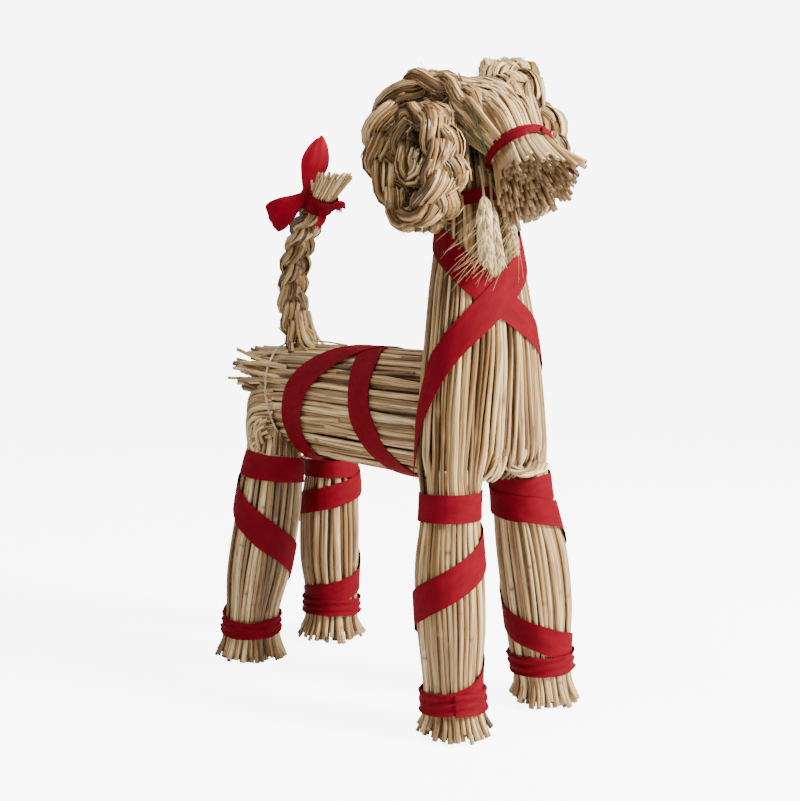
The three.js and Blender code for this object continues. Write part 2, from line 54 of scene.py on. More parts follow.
# ---- sections and paths, in the CAD source's millimetres before it was set down ---------
# They are the CAD source's tables, with some rows moved by up to 4 mm, one row added below
# the chest, and the trunk's last three rows made taller.
# leg sections: x, y, z, radius
FRONT_RIGHT = [
    (-50.5, -125, 0, 28.5), (-50, -124, 16, 23.3), (-49, -122, 28, 22.5), (-48, -119, 80, 26),
    (-46, -115, 120, 26), (-42, -112, 158, 22.5), (-40, -111, 178.2, 22.5)]
FRONT_LEFT = [
    (52, -124.5, 0, 26.5), (51.5, -123, 16, 23), (51, -121, 28, 23.5), (51, -116, 80, 28),
    (48, -112, 120, 28), (41.5, -108.5, 160, 24), (38, -108, 178.2, 23.5)]
HIND_RIGHT = [
    (-47, 125, 0, 30), (-47, 124, 18, 26), (-47, 123, 30, 24), (-41.4, 118.5, 80, 28.5),
    (-36.5, 114, 120, 29), (-32.5, 109, 173, 25.5), (-25.5, 115, 190, 22), (-22, 119, 210, 21),
    (-20, 124, 229, 16)]
HIND_LEFT = [
    (44.5, 125.5, 0, 30), (44.5, 124.5, 18, 25.5), (44.5, 123.5, 30, 24.5), (38.5, 119.5, 80, 27.8),
    (35.5, 115.5, 120, 27.5), (31.5, 111.5, 173, 22.8), (26, 116, 190, 22), (22, 120, 210, 21),
    (20, 124, 229, 16)]
# chest sections: z, centre y, half width, half depth, roundness
CHEST = [
    (160, -106, 60, 27, 2.8), (178.6, -105, 60, 29, 2.8), (196, -105, 58.5, 32.5, 2.6),
    (232, -104, 56, 35, 2.3), (280, -103, 50, 36, 2), (320, -100, 42, 34, 2),
    (350, -98, 35, 31, 2), (376, -96, 31, 27, 2), (404, -96, 27, 22, 2), (426, -94, 20, 13, 2)]
# trunk sections: y, centre z, half width, half height, lean
TRUNK = [
    (-96, 222.3, 39, 49.7, 0), (-40, 222.8, 39.5, 50.0, 0), (20, 223.4, 39.5, 49.2, 0),
    (80, 224, 39, 48.5, 0.15), (113, 224, 38.5, 48, 0.3), (124, 228, 38.5, 45, 0.3),
    (140, 234, 40, 42, 0.3), (160, 240, 43, 42, 0.3)]
# head sections: centre y, z, half width, half depth, tilt in degrees
HEAD = [
    (-77, 437, 15, 11, 30), (-83, 447, 22, 17, 49), (-96, 454, 26, 20, 81),
    (-110, 451, 26, 21, 114), (-124, 439, 24.5, 21.5, 139), (-137, 420, 22, 22, 147),
    (-148, 403, 26.5, 26.5, 143), (-159, 386, 31, 33, 139.5)]
# horn path: x, y, z, lean of the flat side; tail path: y, z
HORN_PATH = [
    (-9, -115, 447, 0.8), (-19, -102, 461, 0.65), (-32, -87, 469, 0.35), (-44, -70, 463, 0.05),
    (-51, -62, 440, 0), (-54, -62, 410, 0), (-55, -70, 383, 0), (-54.5, -89, 369.5, 0),
    (-53, -107, 377, 0), (-51.5, -115, 397, 0), (-51, -114.5, 420, 0), (-51, -107, 437, 0),
    (-52, -96, 445, 0), (-53, -87, 438, 0), (-54, -85, 422, 0), (-54, -88, 406, 0),
    (-53, -95, 399, 0), (-52, -100, 404, 0)]
TAIL_PATH = [
    (109, 273.5), (118.5, 295), (121, 318), (115, 347), (101.5, 373), (83.5, 393), (68, 410)]
# the source then moves the goat this far to centre its box
SET_DOWN = np.array([0.0, 13.57, 0.0])


def placed(points):
    """Source millimetres to metres in the row frame."""
    return (np.asarray(points, float) + SET_DOWN) * MM


# ---- smooth tracks through the tables ---------------------------------------------------
class Track:
    """A cubic curve through rows of values at rising stations."""

    def __init__(self, stations, rows):
        self.t = np.asarray(stations, float)
        self.v = np.asarray(rows, float)
        step = np.diff(self.t)
        slope = np.diff(self.v, axis=0) / step[:, None]
        m = np.zeros_like(self.v)
        m[0], m[-1] = slope[0], slope[-1]
        weight = step[1:, None] / (step[1:, None] + step[:-1, None])
        m[1:-1] = slope[:-1] * weight + slope[1:] * (1 - weight)
        self.m = m

    def __call__(self, at):
        at = np.asarray(at, float)
        k = np.clip(np.searchsorted(self.t, at, side="right") - 1, 0, len(self.t) - 2)
        h = (self.t[k + 1] - self.t[k])[..., None]
        x = (at - self.t[k])[..., None] / h
        inside = np.clip(x, 0, 1)
        a = ((1 + 2 * inside) * (1 - inside) ** 2 * self.v[k]
             + inside**2 * (3 - 2 * inside) * self.v[k + 1])
        b = inside * (1 - inside) ** 2 * self.m[k] + inside**2 * (inside - 1) * self.m[k + 1]
        over = (x - inside) * np.where(x > 1, self.m[k + 1], self.m[k])
        return a + (b + over) * h


class Bundle:
    """Sections along an axis, with a rim that straw and ribbon lie on."""

    def __init__(self, stations, centres, us, vs, a, b, power):
        n = len(stations)
        rows = np.hstack([centres, us, vs, np.reshape(a, (n, 1)), np.reshape(b, (n, 1)),
                          np.reshape(power, (n, 1))])
        self.track = Track(stations, rows)

    def at(self, s, theta, push=0.0):
        """Points and outward normals at stations s and angles theta, in degrees."""
        s, theta, push = np.broadcast_arrays(
            np.asarray(s, float), np.asarray(theta, float), np.asarray(push, float))
        row = self.track(s)
        centre, u, v = row[..., 0:3], row[..., 3:6], row[..., 6:9]
        a, b, p = row[..., 9], row[..., 10], row[..., 11]
        c, sn = np.cos(np.radians(theta)), np.sin(np.radians(theta))
        x = a * np.sign(c) * np.abs(c) ** (2 / p)
        y = b * np.sign(sn) * np.abs(sn) ** (2 / p)
        nx = np.sign(x) * np.abs(x / a) ** (p - 1) / a
        ny = np.sign(y) * np.abs(y / b) ** (p - 1) / b
        length = np.hypot(nx, ny)
        nx, ny = nx / length, ny / length
        point = centre + u * (x + nx * push)[..., None] + v * (y + ny * push)[..., None]
        normal = u * nx[..., None] + v * ny[..., None]
        return point, normal / np.linalg.norm(normal, axis=-1, keepdims=True)

    def inside(self, s, theta, share, push=0.0):
        """Points part of the way from the axis to the rim, with the rim's normals."""
        rim, normal = self.at(s, theta, push)
        centre = self.track(s)[:, 0:3]
        return centre + (rim - centre) * share, normal

    def angles(self, s, count, start=0.0):
        """Angles that space `count` straws evenly round the rim at station s."""
        fine = np.linspace(0, 360, 721) + start
        rim, _ = self.at(np.full(721, s), fine)
        run = run_along(rim)
        return np.interp(np.arange(count) / count * run[-1], run, fine)


def upright(rows):
    """Bundle with level sections from rows of x, y, z, half width, half depth, power."""
    rows = np.asarray(rows, float)
    n = len(rows)
    return Bundle(rows[:, 2], rows[:, 0:3], np.tile([1.0, 0, 0], (n, 1)),
                  np.tile([0, 1.0, 0], (n, 1)), rows[:, 3], rows[:, 4], rows[:, 5])


def leg_bundle(rows):
    return upright([(x, y, z, r, r, 2) for x, y, z, r in rows])


LEGS = {
    "front_leg_right": leg_bundle(FRONT_RIGHT), "front_leg_left": leg_bundle(FRONT_LEFT),
    "hind_leg_right": leg_bundle(HIND_RIGHT), "hind_leg_left": leg_bundle(HIND_LEFT)}
chest = upright([(0, y, z, a, b, p) for z, y, a, b, p in CHEST])
trunk_rows = np.asarray(TRUNK, float)
trunk = Bundle(
    trunk_rows[:, 0],
    np.column_stack([np.zeros(len(TRUNK)), trunk_rows[:, 0], trunk_rows[:, 1]]),
    np.tile([-1.0, 0, 0], (len(TRUNK), 1)),
    np.column_stack([np.zeros(len(TRUNK)), trunk_rows[:, 4], np.ones(len(TRUNK))]),
    trunk_rows[:, 2], trunk_rows[:, 3], np.full(len(TRUNK), 2.0))
head_rows = np.asarray(HEAD, float)
tilt = np.radians(head_rows[:, 4])
head = Bundle(
    np.arange(len(HEAD)),
    np.column_stack([np.zeros(len(HEAD)), head_rows[:, 0], head_rows[:, 1]]),
    np.tile([1.0, 0, 0], (len(HEAD), 1)),
    np.column_stack([np.zeros(len(HEAD)), np.cos(tilt), np.sin(tilt)]),
    head_rows[:, 2], head_rows[:, 3], np.full(len(HEAD), 2.0))


# ---- mesh building ----------------------------------------------------------------------
def signed_volume(rings):
    """Six times the volume inside a run of rings, positive when they face outward."""
    p = rings - rings.mean(axis=(0, 1))
    q = np.roll(p, -1, axis=1)
    a, b, c, d = p[:-1], q[:-1], q[1:], p[1:]
    total = (a * np.cross(b, c)).sum() + (a * np.cross(c, d)).sum()
    low, high = p[0].mean(axis=0), p[-1].mean(axis=0)
    total += (low * np.cross(q[0], p[0])).sum() + (high * np.cross(p[-1], q[-1])).sum()
    return total


class Heap:
    """Gathers tubes and strips, with their colour data, into one mesh object."""

    def __init__(self):
        self.points, self.quads, self.caps, self.data, self.uvs = [], [], [], [], []
        self.count = 0

    def grid(self, rings, tone, cut, joint, v_run, u_run=None):
        """A closed body from n rings of k points; cut and joint have one value per ring."""
        n, k = rings.shape[:2]
        u_run = np.arange(k) / k if u_run is None else np.asarray(u_run)
        if signed_volume(rings) < 0:
            rings, u_run = rings[:, ::-1], u_run[::-1]
        base = self.count
        self.points.append(rings.reshape(-1, 3))
        self.count += n * k
        i = np.arange(n - 1)[:, None] * k
        j = np.arange(k)[None, :]
        nxt = (j + 1) % k
        quad = np.stack([i + j, i + nxt, i + k + nxt, i + k + j], -1).reshape(-1, 4) + base
        self.quads.append(quad)
        self.caps.append(np.arange(k)[::-1] + base)
        self.caps.append(np.arange(k) + base + (n - 1) * k)
        spread = np.ones((n, k))
        self.data.append(np.stack([
            spread * tone[0], spread * tone[1], spread * np.reshape(cut, (-1, 1)),
            spread * np.reshape(joint, (-1, 1))], -1).reshape(-1, 4))
        around = u_run[None, :] * spread
        self.uvs.append(np.stack([around, spread * np.reshape(v_run, (-1, 1))], -1)
                        .reshape(-1, 2))

    def build(self, name, material):
        """The mesh object, moved to where the CAD source sets the goat down."""
        points = placed(np.vstack(self.points))
        data = np.vstack(self.data).astype(np.float32)
        uv = np.vstack(self.uvs).astype(np.float32)
        quads = np.vstack(self.quads)
        caps = self.caps
        sizes = np.concatenate([np.full(len(quads), 4), [len(c) for c in caps]]).astype(int)
        loops = np.concatenate([quads.ravel(), *caps]).astype(np.int32)
        mesh = bpy.data.meshes.new(name)
        mesh.vertices.add(len(points))
        mesh.vertices.foreach_set("co", points.astype(np.float32).ravel())
        mesh.loops.add(len(loops))
        mesh.loops.foreach_set("vertex_index", loops)
        mesh.polygons.add(len(sizes))
        starts = np.concatenate([[0], np.cumsum(sizes)[:-1]]).astype(np.int32)
        mesh.polygons.foreach_set("loop_start", starts)
        mesh.polygons.foreach_set("use_smooth", np.full(len(sizes), True))
        colour = mesh.color_attributes.new("straw_data", "FLOAT_COLOR", "POINT")
        colour.data.foreach_set("color", data.ravel())
        layer = mesh.uv_layers.new(name="UVMap")
        layer.data.foreach_set("uv", uv[loops].ravel())
        mesh.update(calc_edges=True)
        mesh.validate()
        obj = bpy.data.objects.new(name, mesh)
        bpy.context.scene.collection.objects.link(obj)
        mesh.materials.append(material)
        return obj


def begin(number):
    """A seeded random source and an empty heap, for one piece."""
    return np.random.default_rng(SEED + number), Heap()


def unit(v):
    return v / np.maximum(np.linalg.norm(v, axis=-1, keepdims=True), 1e-9)


# a hollow end: rim and bore as shares of the straw's size, depth of the bore, and the mark of the
# rim; bore and rim are darkened as painted shade in the hollow
RIM_SHARE = 0.66
BORE_SHARE = 0.6
BORE_DEPTH = 3.0
RIM_CUT = 0.55


def run_along(points):
    """Distance along a path at each of its points."""
    return np.concatenate([[0], np.cumsum(np.linalg.norm(np.diff(points, axis=0), axis=1))])


def tube(heap, path, normals, width, depth, sides, tone, joint=None,
         hollow=(False, False), start_v=0.0):
    """A tube of half sizes width x depth; `hollow` ends get a rim and a bore painted near black as
    shade in the hollow.
    """
    n = len(path)
    width = np.broadcast_to(np.asarray(width, float), n).copy()
    depth = np.broadcast_to(np.asarray(depth, float), n).copy()
    tangent = unit(np.gradient(path, axis=0))
    normals = unit(normals - (normals * tangent).sum(-1, keepdims=True) * tangent)
    side = np.cross(tangent, normals)
    angle = np.arange(sides) / sides * 2 * np.pi
    ring = (side[:, None, :] * (np.cos(angle)[None, :, None] * width[:, None, None])
            + normals[:, None, :] * (np.sin(angle)[None, :, None] * depth[:, None, None]))
    rings = path[:, None, :] + ring
    cut = np.zeros(n)
    joint = np.zeros(n) if joint is None else np.asarray(joint, float)
    run = run_along(path) + start_v
    if hollow[0]:
        rim = path[0] + ring[0] * RIM_SHARE
        bore = path[0] + ring[0] * BORE_SHARE + tangent[0] * BORE_DEPTH
        rings = np.concatenate([bore[None], rim[None], rings])
        cut = np.concatenate([[1.0, RIM_CUT], cut])
        joint = np.concatenate([[0, 0], joint])
        run = np.concatenate([[run[0], run[0]], run])
    if hollow[1]:
        rim = path[-1] + ring[-1] * RIM_SHARE
        bore = path[-1] + ring[-1] * BORE_SHARE - tangent[-1] * BORE_DEPTH
        rings = np.concatenate([rings, rim[None], bore[None]])
        cut = np.concatenate([cut, [RIM_CUT, 1.0]])
        joint = np.concatenate([joint, [0, 0]])
        run = np.concatenate([run, [run[-1], run[-1]]])
    heap.grid(rings, tone, cut, joint, run * 0.01)


def wobble(rng, x, scale, amount):
    """A smooth random function of x."""
    total = np.zeros(np.shape(x))
    for k in (1, 2, 3):
        total += rng.normal() / k * np.sin(np.asarray(x) * k / scale + rng.uniform(0, 6.28))
    return total * amount


def swerve(rng, s, still, amount):
    """A slant, with a slight bend, that leaves station `still` in place."""
    return rng.normal(0, amount) * (s - still) / 100 + wobble(rng, s, 70.0, amount * 0.25)


TONE_MEAN = 0.56
TONE_SPREAD = 0.31
STREAK_RUN = 500  # a straw's streaks start anywhere along this run
JOINT_SWELL = 0.16


def straw_tone(rng, shift):
    """Tone and tint of one straw."""
    tone = np.clip(rng.normal(TONE_MEAN + shift, TONE_SPREAD), 0.0, 1.0)
    return (float(tone), float(rng.uniform()))


def straw(heap, path, normals, width, depth, sides, rng, shift, mark=None,
          hollow=(False, False)):
    """A tube with a tone and a start of its streaks of its own."""
    tone = straw_tone(rng, shift)
    tube(heap, path, normals, width, depth, sides, tone, mark, hollow, rng.uniform(0, STREAK_RUN))


def joints_along(rng, run, spacing):
    """Radius factor and joint mark along a straw whose run is in millimetres."""
    factor = np.ones(len(run))
    mark = np.zeros(len(run))
    place = rng.uniform(0, spacing)
    while place < run[-1]:
        near = np.exp(-((run - place) / 2.6) ** 2)
        factor += JOINT_SWELL * near
        mark = np.maximum(mark, np.exp(-((run - place) / 1.7) ** 2))
        place += rng.uniform(0.75, 1.4) * spacing
    return factor, mark


def refine(stations, marks):
    """Adds stations close to each mark, so a straw's joint keeps its shape."""
    extra = [m + d for m in marks for d in (-3.6, -1.5, 0, 1.5, 3.6)]
    inside = [e for e in extra if min(stations) < e < max(stations)]
    return np.unique(np.concatenate([stations, inside]))


def lay_straws(heap, bundle, low, high, count, radius, rng, step, wander, depth_shift=0.0,
               spread_low=None, sides=8, tone_shift=0.0, jitter=0.6, hollow=(False, False),
               flare=0.0):
    """A layer of straws along a bundle, from station low to high."""
    mid = (low + high) / 2
    for theta in bundle.angles(mid, count, rng.uniform(0, 360 / count)):
        theta = theta + rng.normal(0, 0.2) * 360 / count
        r = radius * rng.uniform(0.72, 1.2)
        a = low if spread_low is None else low + rng.uniform(*spread_low)
        marks = []
        place = a + rng.uniform(0, 150)
        while place < high:
            marks.append(place)
            place += rng.uniform(110, 210)
        s = refine(np.linspace(a, high, max(int((high - a) / step), 4)), marks)
        factor = np.ones(len(s))
        mark = np.zeros(len(s))
        for m in marks:
            factor += 0.17 * np.exp(-((s - m) / 2.4) ** 2)
            mark = np.maximum(mark, np.exp(-((s - m) / 1.6) ** 2))
        drift = rng.normal(0, wander) * (s - mid) * 2 / (high - low)
        drift = drift + wobble(rng, s, 90.0, wander * 0.3)
        deep = depth_shift - abs(rng.normal(0, jitter)) + wobble(rng, s, 60.0, jitter * 0.3)
        deep = deep + flare * rng.uniform(0.2, 1.2) * np.clip(1 - s / 20, 0, 1) ** 1.5
        path, normal = bundle.at(s, theta + drift, deep - r * factor)
        flat = rng.uniform(0.8, 1.0)
        straw(heap, path, normal, r * factor, r * factor * flat, sides, rng, tone_shift, mark,
              hollow)


def core(heap, bundle, low, high, inset, count=24, rings=16):
    """A filling just under the straws, near black: painted shade in the gaps between them."""
    s = np.linspace(low, high, rings)
    theta = np.arange(count) / count * 360
    points, _ = bundle.at(s[:, None], theta[None, :], -inset)
    heap.grid(points, (0.0, 0.5), np.full(rings, 0.6), np.zeros(rings), s * 0.01)


# ---- finishes ---------------------------------------------------------------------------
def node(tree, kind, **values):
    made = tree.nodes.new(kind)
    for key, value in values.items():
        setattr(made, key, value)
    return made


def ramp(tree, factor, stops):
    made = node(tree, "ShaderNodeValToRGB")
    elements = made.color_ramp.elements
    while len(elements) < len(stops):
        elements.new(0.5)
    for element, (at, colour) in zip(elements, stops):
        element.position = at
        element.color = (*colour, 1)
    tree.links.new(factor, made.inputs[0])
    return made.outputs[0]


def blend_colour(tree, kind, factor, a, b):
    made = node(tree, "ShaderNodeMix", data_type="RGBA", blend_type=kind)
    sockets = made.inputs["Factor"], made.inputs[6], made.inputs[7]
    for socket, value in zip(sockets, (factor, a, b)):
        if isinstance(value, bpy.types.NodeSocket):
            tree.links.new(value, socket)
        elif isinstance(value, tuple):
            socket.default_value = (*value, 1)
        else:
            socket.default_value = value
    return made.outputs[2]


def streaks(tree, across, along, detail):
    """Noise drawn out along a straw or a ribbon."""
    uv = node(tree, "ShaderNodeUVMap", uv_map="UVMap")
    scale = node(tree, "ShaderNodeMapping")
    scale.inputs["Scale"].default_value = (across, along, 1)
    noise = node(tree, "ShaderNodeTexNoise")
    noise.inputs["Scale"].default_value = 1.0
    noise.inputs["Detail"].default_value = detail
    tree.links.new(uv.outputs[0], scale.inputs[0])
    tree.links.new(scale.outputs[0], noise.inputs["Vector"])
    return noise.outputs[0]


def new_material(name):
    material = bpy.data.materials.new(name)
    material.use_nodes = True
    tree = material.node_tree
    return material, tree, tree.nodes["Principled BSDF"]


def bumped(tree, shader, height, strength, distance):
    bump = node(tree, "ShaderNodeBump")
    bump.inputs["Strength"].default_value = strength
    bump.inputs["Distance"].default_value = distance
    tree.links.new(height, bump.inputs["Height"])
    tree.links.new(bump.outputs[0], shader.inputs["Normal"])


def straw_data(tree):
    """The colour data of the mesh: tone, tint and cut in red, green and blue, joint in alpha; the
    cut mark is painted shade.
    """
    data = node(tree, "ShaderNodeAttribute", attribute_name="straw_data")
    parts = node(tree, "ShaderNodeSeparateColor")
    tree.links.new(data.outputs["Color"], parts.inputs[0])
    return data, parts


def straw_material(name, dark, mid, pale, across, streak, rough):
    """Dried stalk: a tone for each straw, streaks along it, brown joints, and painted shade, near
    black, where the cut mark is set.
    """
    material, tree, shader = new_material(name)
    data, parts = straw_data(tree)
    body = ramp(tree, parts.outputs[0], [(0.0, dark), (0.5, mid), (1.0, pale)])
    fine = streaks(tree, across, 2.4, 4.0)
    light_dark = ramp(tree, fine, [(0.39, streak), (0.56, (1, 1, 1))])
    body = blend_colour(tree, "MULTIPLY", 0.85, body, light_dark)
    blotch = ramp(tree, streaks(tree, 1.6, 1.8, 4.0), [(0.36, (0.6, 0.44, 0.27)), (0.54, (1, 1, 1))])
    body = blend_colour(tree, "MULTIPLY", 0.35, body, blotch)
    tint = ramp(tree, parts.outputs[1], [(0.0, (1.0, 0.93, 0.74)), (0.3, (1, 1, 1)),
                                         (0.7, (1, 1, 1)), (1.0, (0.66, 0.63, 0.6))])
    body = blend_colour(tree, "MULTIPLY", 0.8, body, tint)
    body = blend_colour(tree, "MIX", data.outputs["Alpha"], body, (0.27, 0.16, 0.07))
    # painted shade: the cut mark darkens bores, rims of cut ends, dark fillings and plait cores
    # towards near black
    body = blend_colour(tree, "MIX", parts.outputs[2], body, (0.045, 0.024, 0.01))
    tree.links.new(body, shader.inputs["Base Color"])
    shader.inputs["Roughness"].default_value = rough
    shader.inputs["Specular IOR Level"].default_value = 0.42
    bumped(tree, shader, fine, 0.35, 0.0006)
    return material


def ribbon_material():
    """Matte red ribbon with a fine crosswise weave, and a brighter red painted as light on the bow's
    loops and ends.
    """
    material, tree, shader = new_material("ribbon_red")
    uv = node(tree, "ShaderNodeUVMap", uv_map="UVMap")
    ribs = node(tree, "ShaderNodeTexWave", wave_type="BANDS", bands_direction="Y")
    ribs.inputs["Scale"].default_value = 45.0
    ribs.inputs["Distortion"].default_value = 0.4
    threads = node(tree, "ShaderNodeTexWave", wave_type="BANDS", bands_direction="X")
    threads.inputs["Scale"].default_value = 45.0
    for wave in (ribs, threads):
        tree.links.new(uv.outputs[0], wave.inputs["Vector"])
    weave = node(tree, "ShaderNodeMath", operation="ADD")
    tree.links.new(ribs.outputs["Fac"], weave.inputs[0])
    tree.links.new(threads.outputs["Fac"], weave.inputs[1])
    fibres = streaks(tree, 14.0, 5.0, 4.0)
    cloth = ramp(tree, fibres, [(0.3, (0.135, 0.001, 0.006)), (0.7, (0.185, 0.002, 0.009))])
    # painted light: a brighter red for the bow's loops and ends, as if lit through the cloth
    loose = ramp(tree, fibres, [(0.3, (0.19, 0.001, 0.009)), (0.7, (0.28, 0.003, 0.014))])
    _, parts = straw_data(tree)
    painted_light = ramp(tree, parts.outputs[0], [(0.7, (0, 0, 0)), (1.0, (1, 1, 1))])
    cloth = blend_colour(tree, "MIX", painted_light, cloth, loose)
    tree.links.new(cloth, shader.inputs["Base Color"])
    shader.inputs["Roughness"].default_value = 0.7
    shader.inputs["Specular IOR Level"].default_value = 0.08
    bumped(tree, shader, weave.outputs[0], 0.25, 0.0002)
    return material


STRAW = straw_material("straw_dried", (0.13, 0.07, 0.025), (0.52, 0.338, 0.15),
                       (0.93, 0.74, 0.42), 12.0, (0.36, 0.22, 0.11), 0.34)
PLAIT = straw_material("straw_plaited", (0.13, 0.066, 0.022), (0.53, 0.337, 0.138),
                       (0.95, 0.76, 0.42), 12.0, (0.3, 0.17, 0.075), 0.34)
WHEAT = straw_material("wheat_dried", (0.16, 0.165, 0.09), (0.66, 0.50, 0.27),
                       (0.95, 0.80, 0.50), 6.0, (0.55, 0.43, 0.26), 0.5)
TWINE = straw_material("twine_natural", (0.45, 0.37, 0.25), (0.72, 0.62, 0.45),
                       (0.86, 0.79, 0.64), 16.0, (0.6, 0.5, 0.38), 0.75)
RIBBON = ribbon_material()


def finish_piece(heap, name, material, nodes):
    """Builds a piece on the fixed body and hides the CAD nodes that it stands for."""
    piece = heap.build(name, material)
    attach(piece, "root")
    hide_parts(*nodes)


# ---- curves through points --------------------------------------------------------------
def through(points, count):
    """Evenly spaced points of a centripetal curve through the given ones, with their shares."""
    p = np.asarray(points, float)
    gaps = np.linalg.norm(np.diff(p[:, :3], axis=0), axis=1)
    knots = np.concatenate([[0], np.cumsum(gaps ** 0.5)])
    fine = Track(knots, p)(np.linspace(0, knots[-1], 40 * len(p)))
    run = run_along(fine[:, :3])
    at = np.linspace(0, run[-1], count)
    return np.stack([np.interp(at, run, fine[:, i]) for i in range(p.shape[1])], -1), at


def steady_normals(path, hint):
    """Normals square to a path that keep facing the hint."""
    tangent = unit(np.gradient(path, axis=0))
    hint = np.broadcast_to(np.asarray(hint, float), path.shape)
    return unit(hint - (hint * tangent).sum(-1, keepdims=True) * tangent)


def stalk(heap, points, radius, rng, tone, hollow=(False, True), sides=7, joint=True,
          hint=(0.3, 0.2, 1.0)):
    """One straw through a few points."""
    path, run = through(points, max(6, len(points) * 4))
    factor, mark = joints_along(rng, run, 120.0) if joint else (np.ones(len(run)), None)
    straw(heap, path, steady_normals(path, hint), radius * factor, radius * factor * 0.92, sides,
          rng, tone, mark, hollow)


# ---- legs -------------------------------------------------------------------------------
# straws inside a foot: share of its radius, count
FOOT_RINGS = ((0.80, 24), (0.60, 18), (0.4, 11), (0.2, 6))


def add_leg(name, top, seed, outer_top):
    """Dark filling, inner and outer straws, and the cut ends that fill the foot."""
    rng, heap = begin(seed)
    bundle = LEGS[name]
    core(heap, bundle, 14, top, 5.2)
    # the inner layer is toned darker: painted shade in the gaps between the outer straws
    lay_straws(heap, bundle, 10, top, 32, 2.0, rng, depth_shift=-2.9, tone_shift=-0.5,
               wander=4.0, jitter=0.4, step=14.0, sides=6)
    lay_straws(heap, bundle, 1.7, outer_top, 38, 2.1, rng, spread_low=(0.0, 7.0),
               hollow=(True, False), wander=3.6, jitter=0.9, step=7.0, flare=5.5)
    for share, count in FOOT_RINGS:
        for k in range(count):
            theta = (k + rng.uniform(-0.3, 0.3)) * 360 / count
            s = np.linspace(rng.uniform(0.6, 4.5), 26, 6)
            path, normal = bundle.inside(s, theta, share)
            tube(heap, path, normal, 1.95, 1.8, 7, straw_tone(rng, -0.1), None, (True, False))
    finish_piece(heap, name + "_straw", STRAW, [name])


add_leg("front_leg_right", 192, 1, 167)
add_leg("front_leg_left", 192, 2, 170)
add_leg("hind_leg_right", 205, 3, 200)
add_leg("hind_leg_left", 205, 4, 200)


# ---- chest ------------------------------------------------------------------------------
def ease(x):
    """Smooth step from 0 to 1."""
    x = np.clip(x, 0, 1)
    return x * x * (3 - 2 * x)


def chest_straws():
    """Straws run from the legs up into the neck; those between the legs curl under."""
    rng, heap = begin(20)
    core(heap, chest, 183, 424, 6.0, 32, 20)
    # the inner layer is toned darker: painted shade in the gaps between the outer straws
    lay_straws(heap, chest, 186, 424, 54, 2.0, rng, depth_shift=-3.0, tone_shift=-0.45,
               step=18.0, sides=6, wander=2.4)
    for theta in chest.angles(250, 90):
        theta = theta + rng.normal(0, 1.0)
        across = chest.at(232, theta)[0][0]
        front = math.sin(math.radians(theta)) < 0.25
        r = 1.74 * rng.uniform(0.72, 1.25)
        top = rng.uniform(408, 430)
        deep = -abs(rng.normal(0, 0.85))
        if across < (-20 if front else -6) or across > 30:
            bundle = LEGS["front_leg_right" if across < 0 else "front_leg_left"]
            low_x, high_x = ((-56, -20) if front else (-56, -6)) if across < 0 else (28, 56)
            level = np.clip(2 * (across - low_x) / (high_x - low_x) - 1, -1, 1)
            phi = math.degrees(math.acos(level))
            phi = 360 - phi if front else phi
            s = np.linspace(158, top, 32)
            held, up = chest.at(np.maximum(s, 178), theta + swerve(rng, s, 230, 2.8), deep - r)
            held[:, 2] = s
            below, out = bundle.at(np.minimum(s, 200), phi, deep - r)
            w = ease((s - 163) / 42)[:, None]
            path = held * w + below * (1 - w)
            path[:, 2] = s
            normal = unit(up * w + out * (1 - w))
            hollow = (False, False)
        else:
            s = np.linspace(rng.uniform(186, 193), top, 28)
            path, normal = chest.at(s, theta + swerve(rng, s, 230, 3.0), deep - r)
            under = ease((202 - s) / 18)[:, None]
            path = path - normal * under * rng.uniform(3, 8)
            hollow = (True, False)
        factor, mark = joints_along(rng, s - s[0], 150.0)
        narrow = np.interp(s, [150, 280, 350, 430], [1, 1, 0.86, 0.7])
        straw(heap, path, normal, r * factor * narrow, r * factor * 0.9 * narrow, 8, rng, 0.0,
              mark, hollow)
    # straws between the legs turn under the chest, some across its front edge
    for _ in range(34):
        x = rng.uniform(-18, 40)
        y = -134 + 0.004 * (x - 5) ** 2 + rng.uniform(-1.5, 7)
        lift = rng.uniform(-2, 9)
        aside = rng.uniform(-16, 5)
        stalk(heap, [(x + 2, y + 2, 224 + lift), (x + 1, y, 206 + lift),
                     (x + aside * 0.2, y - 0.5, 194 + lift * 0.7),
                     (x + aside * 0.6, y + 2.5, 185 + lift * 0.4),
                     (x + aside, y + rng.uniform(5, 11), 181 + lift * 0.4)],
              rng.uniform(1.1, 1.9), rng, 0.12, joint=False, hint=(0, -1, -0.4))
    for _ in range(9):
        x = rng.uniform(4, 30)
        lift = rng.uniform(0, 5)
        stalk(heap, [(x - 14, -128, 190 + lift), (x - 5, -134, 184 + lift),
                     (x + 6, -137, 183.5 + lift), (x + 15, -134, 188 + lift)],
              rng.uniform(1.0, 1.7), rng, 0.2, (True, True), joint=False, hint=(0, -1, -0.4))
    for _ in range(30):
        x = rng.uniform(-16, 44)
        y = rng.uniform(-126, -88)
        stalk(heap, [(x, y, 206), (x + rng.normal(0, 3), y + rng.normal(0, 2), 192),
                     (x + rng.normal(0, 6), y + rng.normal(0, 4), rng.uniform(180.5, 186))],
              1.8, rng, -0.15, (False, True), joint=False, hint=(0, -1, 0.1))
    # nape straws run on from the neck up into the back of the head
    nape = np.random.default_rng(SEED + 90)
    for k in range(26):
        x = np.interp(k, [0, 25], [-19, 19]) + nape.uniform(-1, 1)
        y = -75.5 + 0.02 * x * x + nape.uniform(-2, 0.5)
        stalk(heap, [(x, y - 2.8, nape.uniform(398, 404)), (x * 0.95, y - 1.5, 411),
                     (x * 0.85, y - 1.5, 424), (x * 0.75, y - 5, 438),
                     (x * 0.7, y - 9, 446)],
              nape.uniform(1.5, 2.1), nape, 0.0, joint=False, hint=(0, 1, 0.1))
    return heap


finish_piece(chest_straws(), "chest_straw", STRAW, ["chest_bundle"])


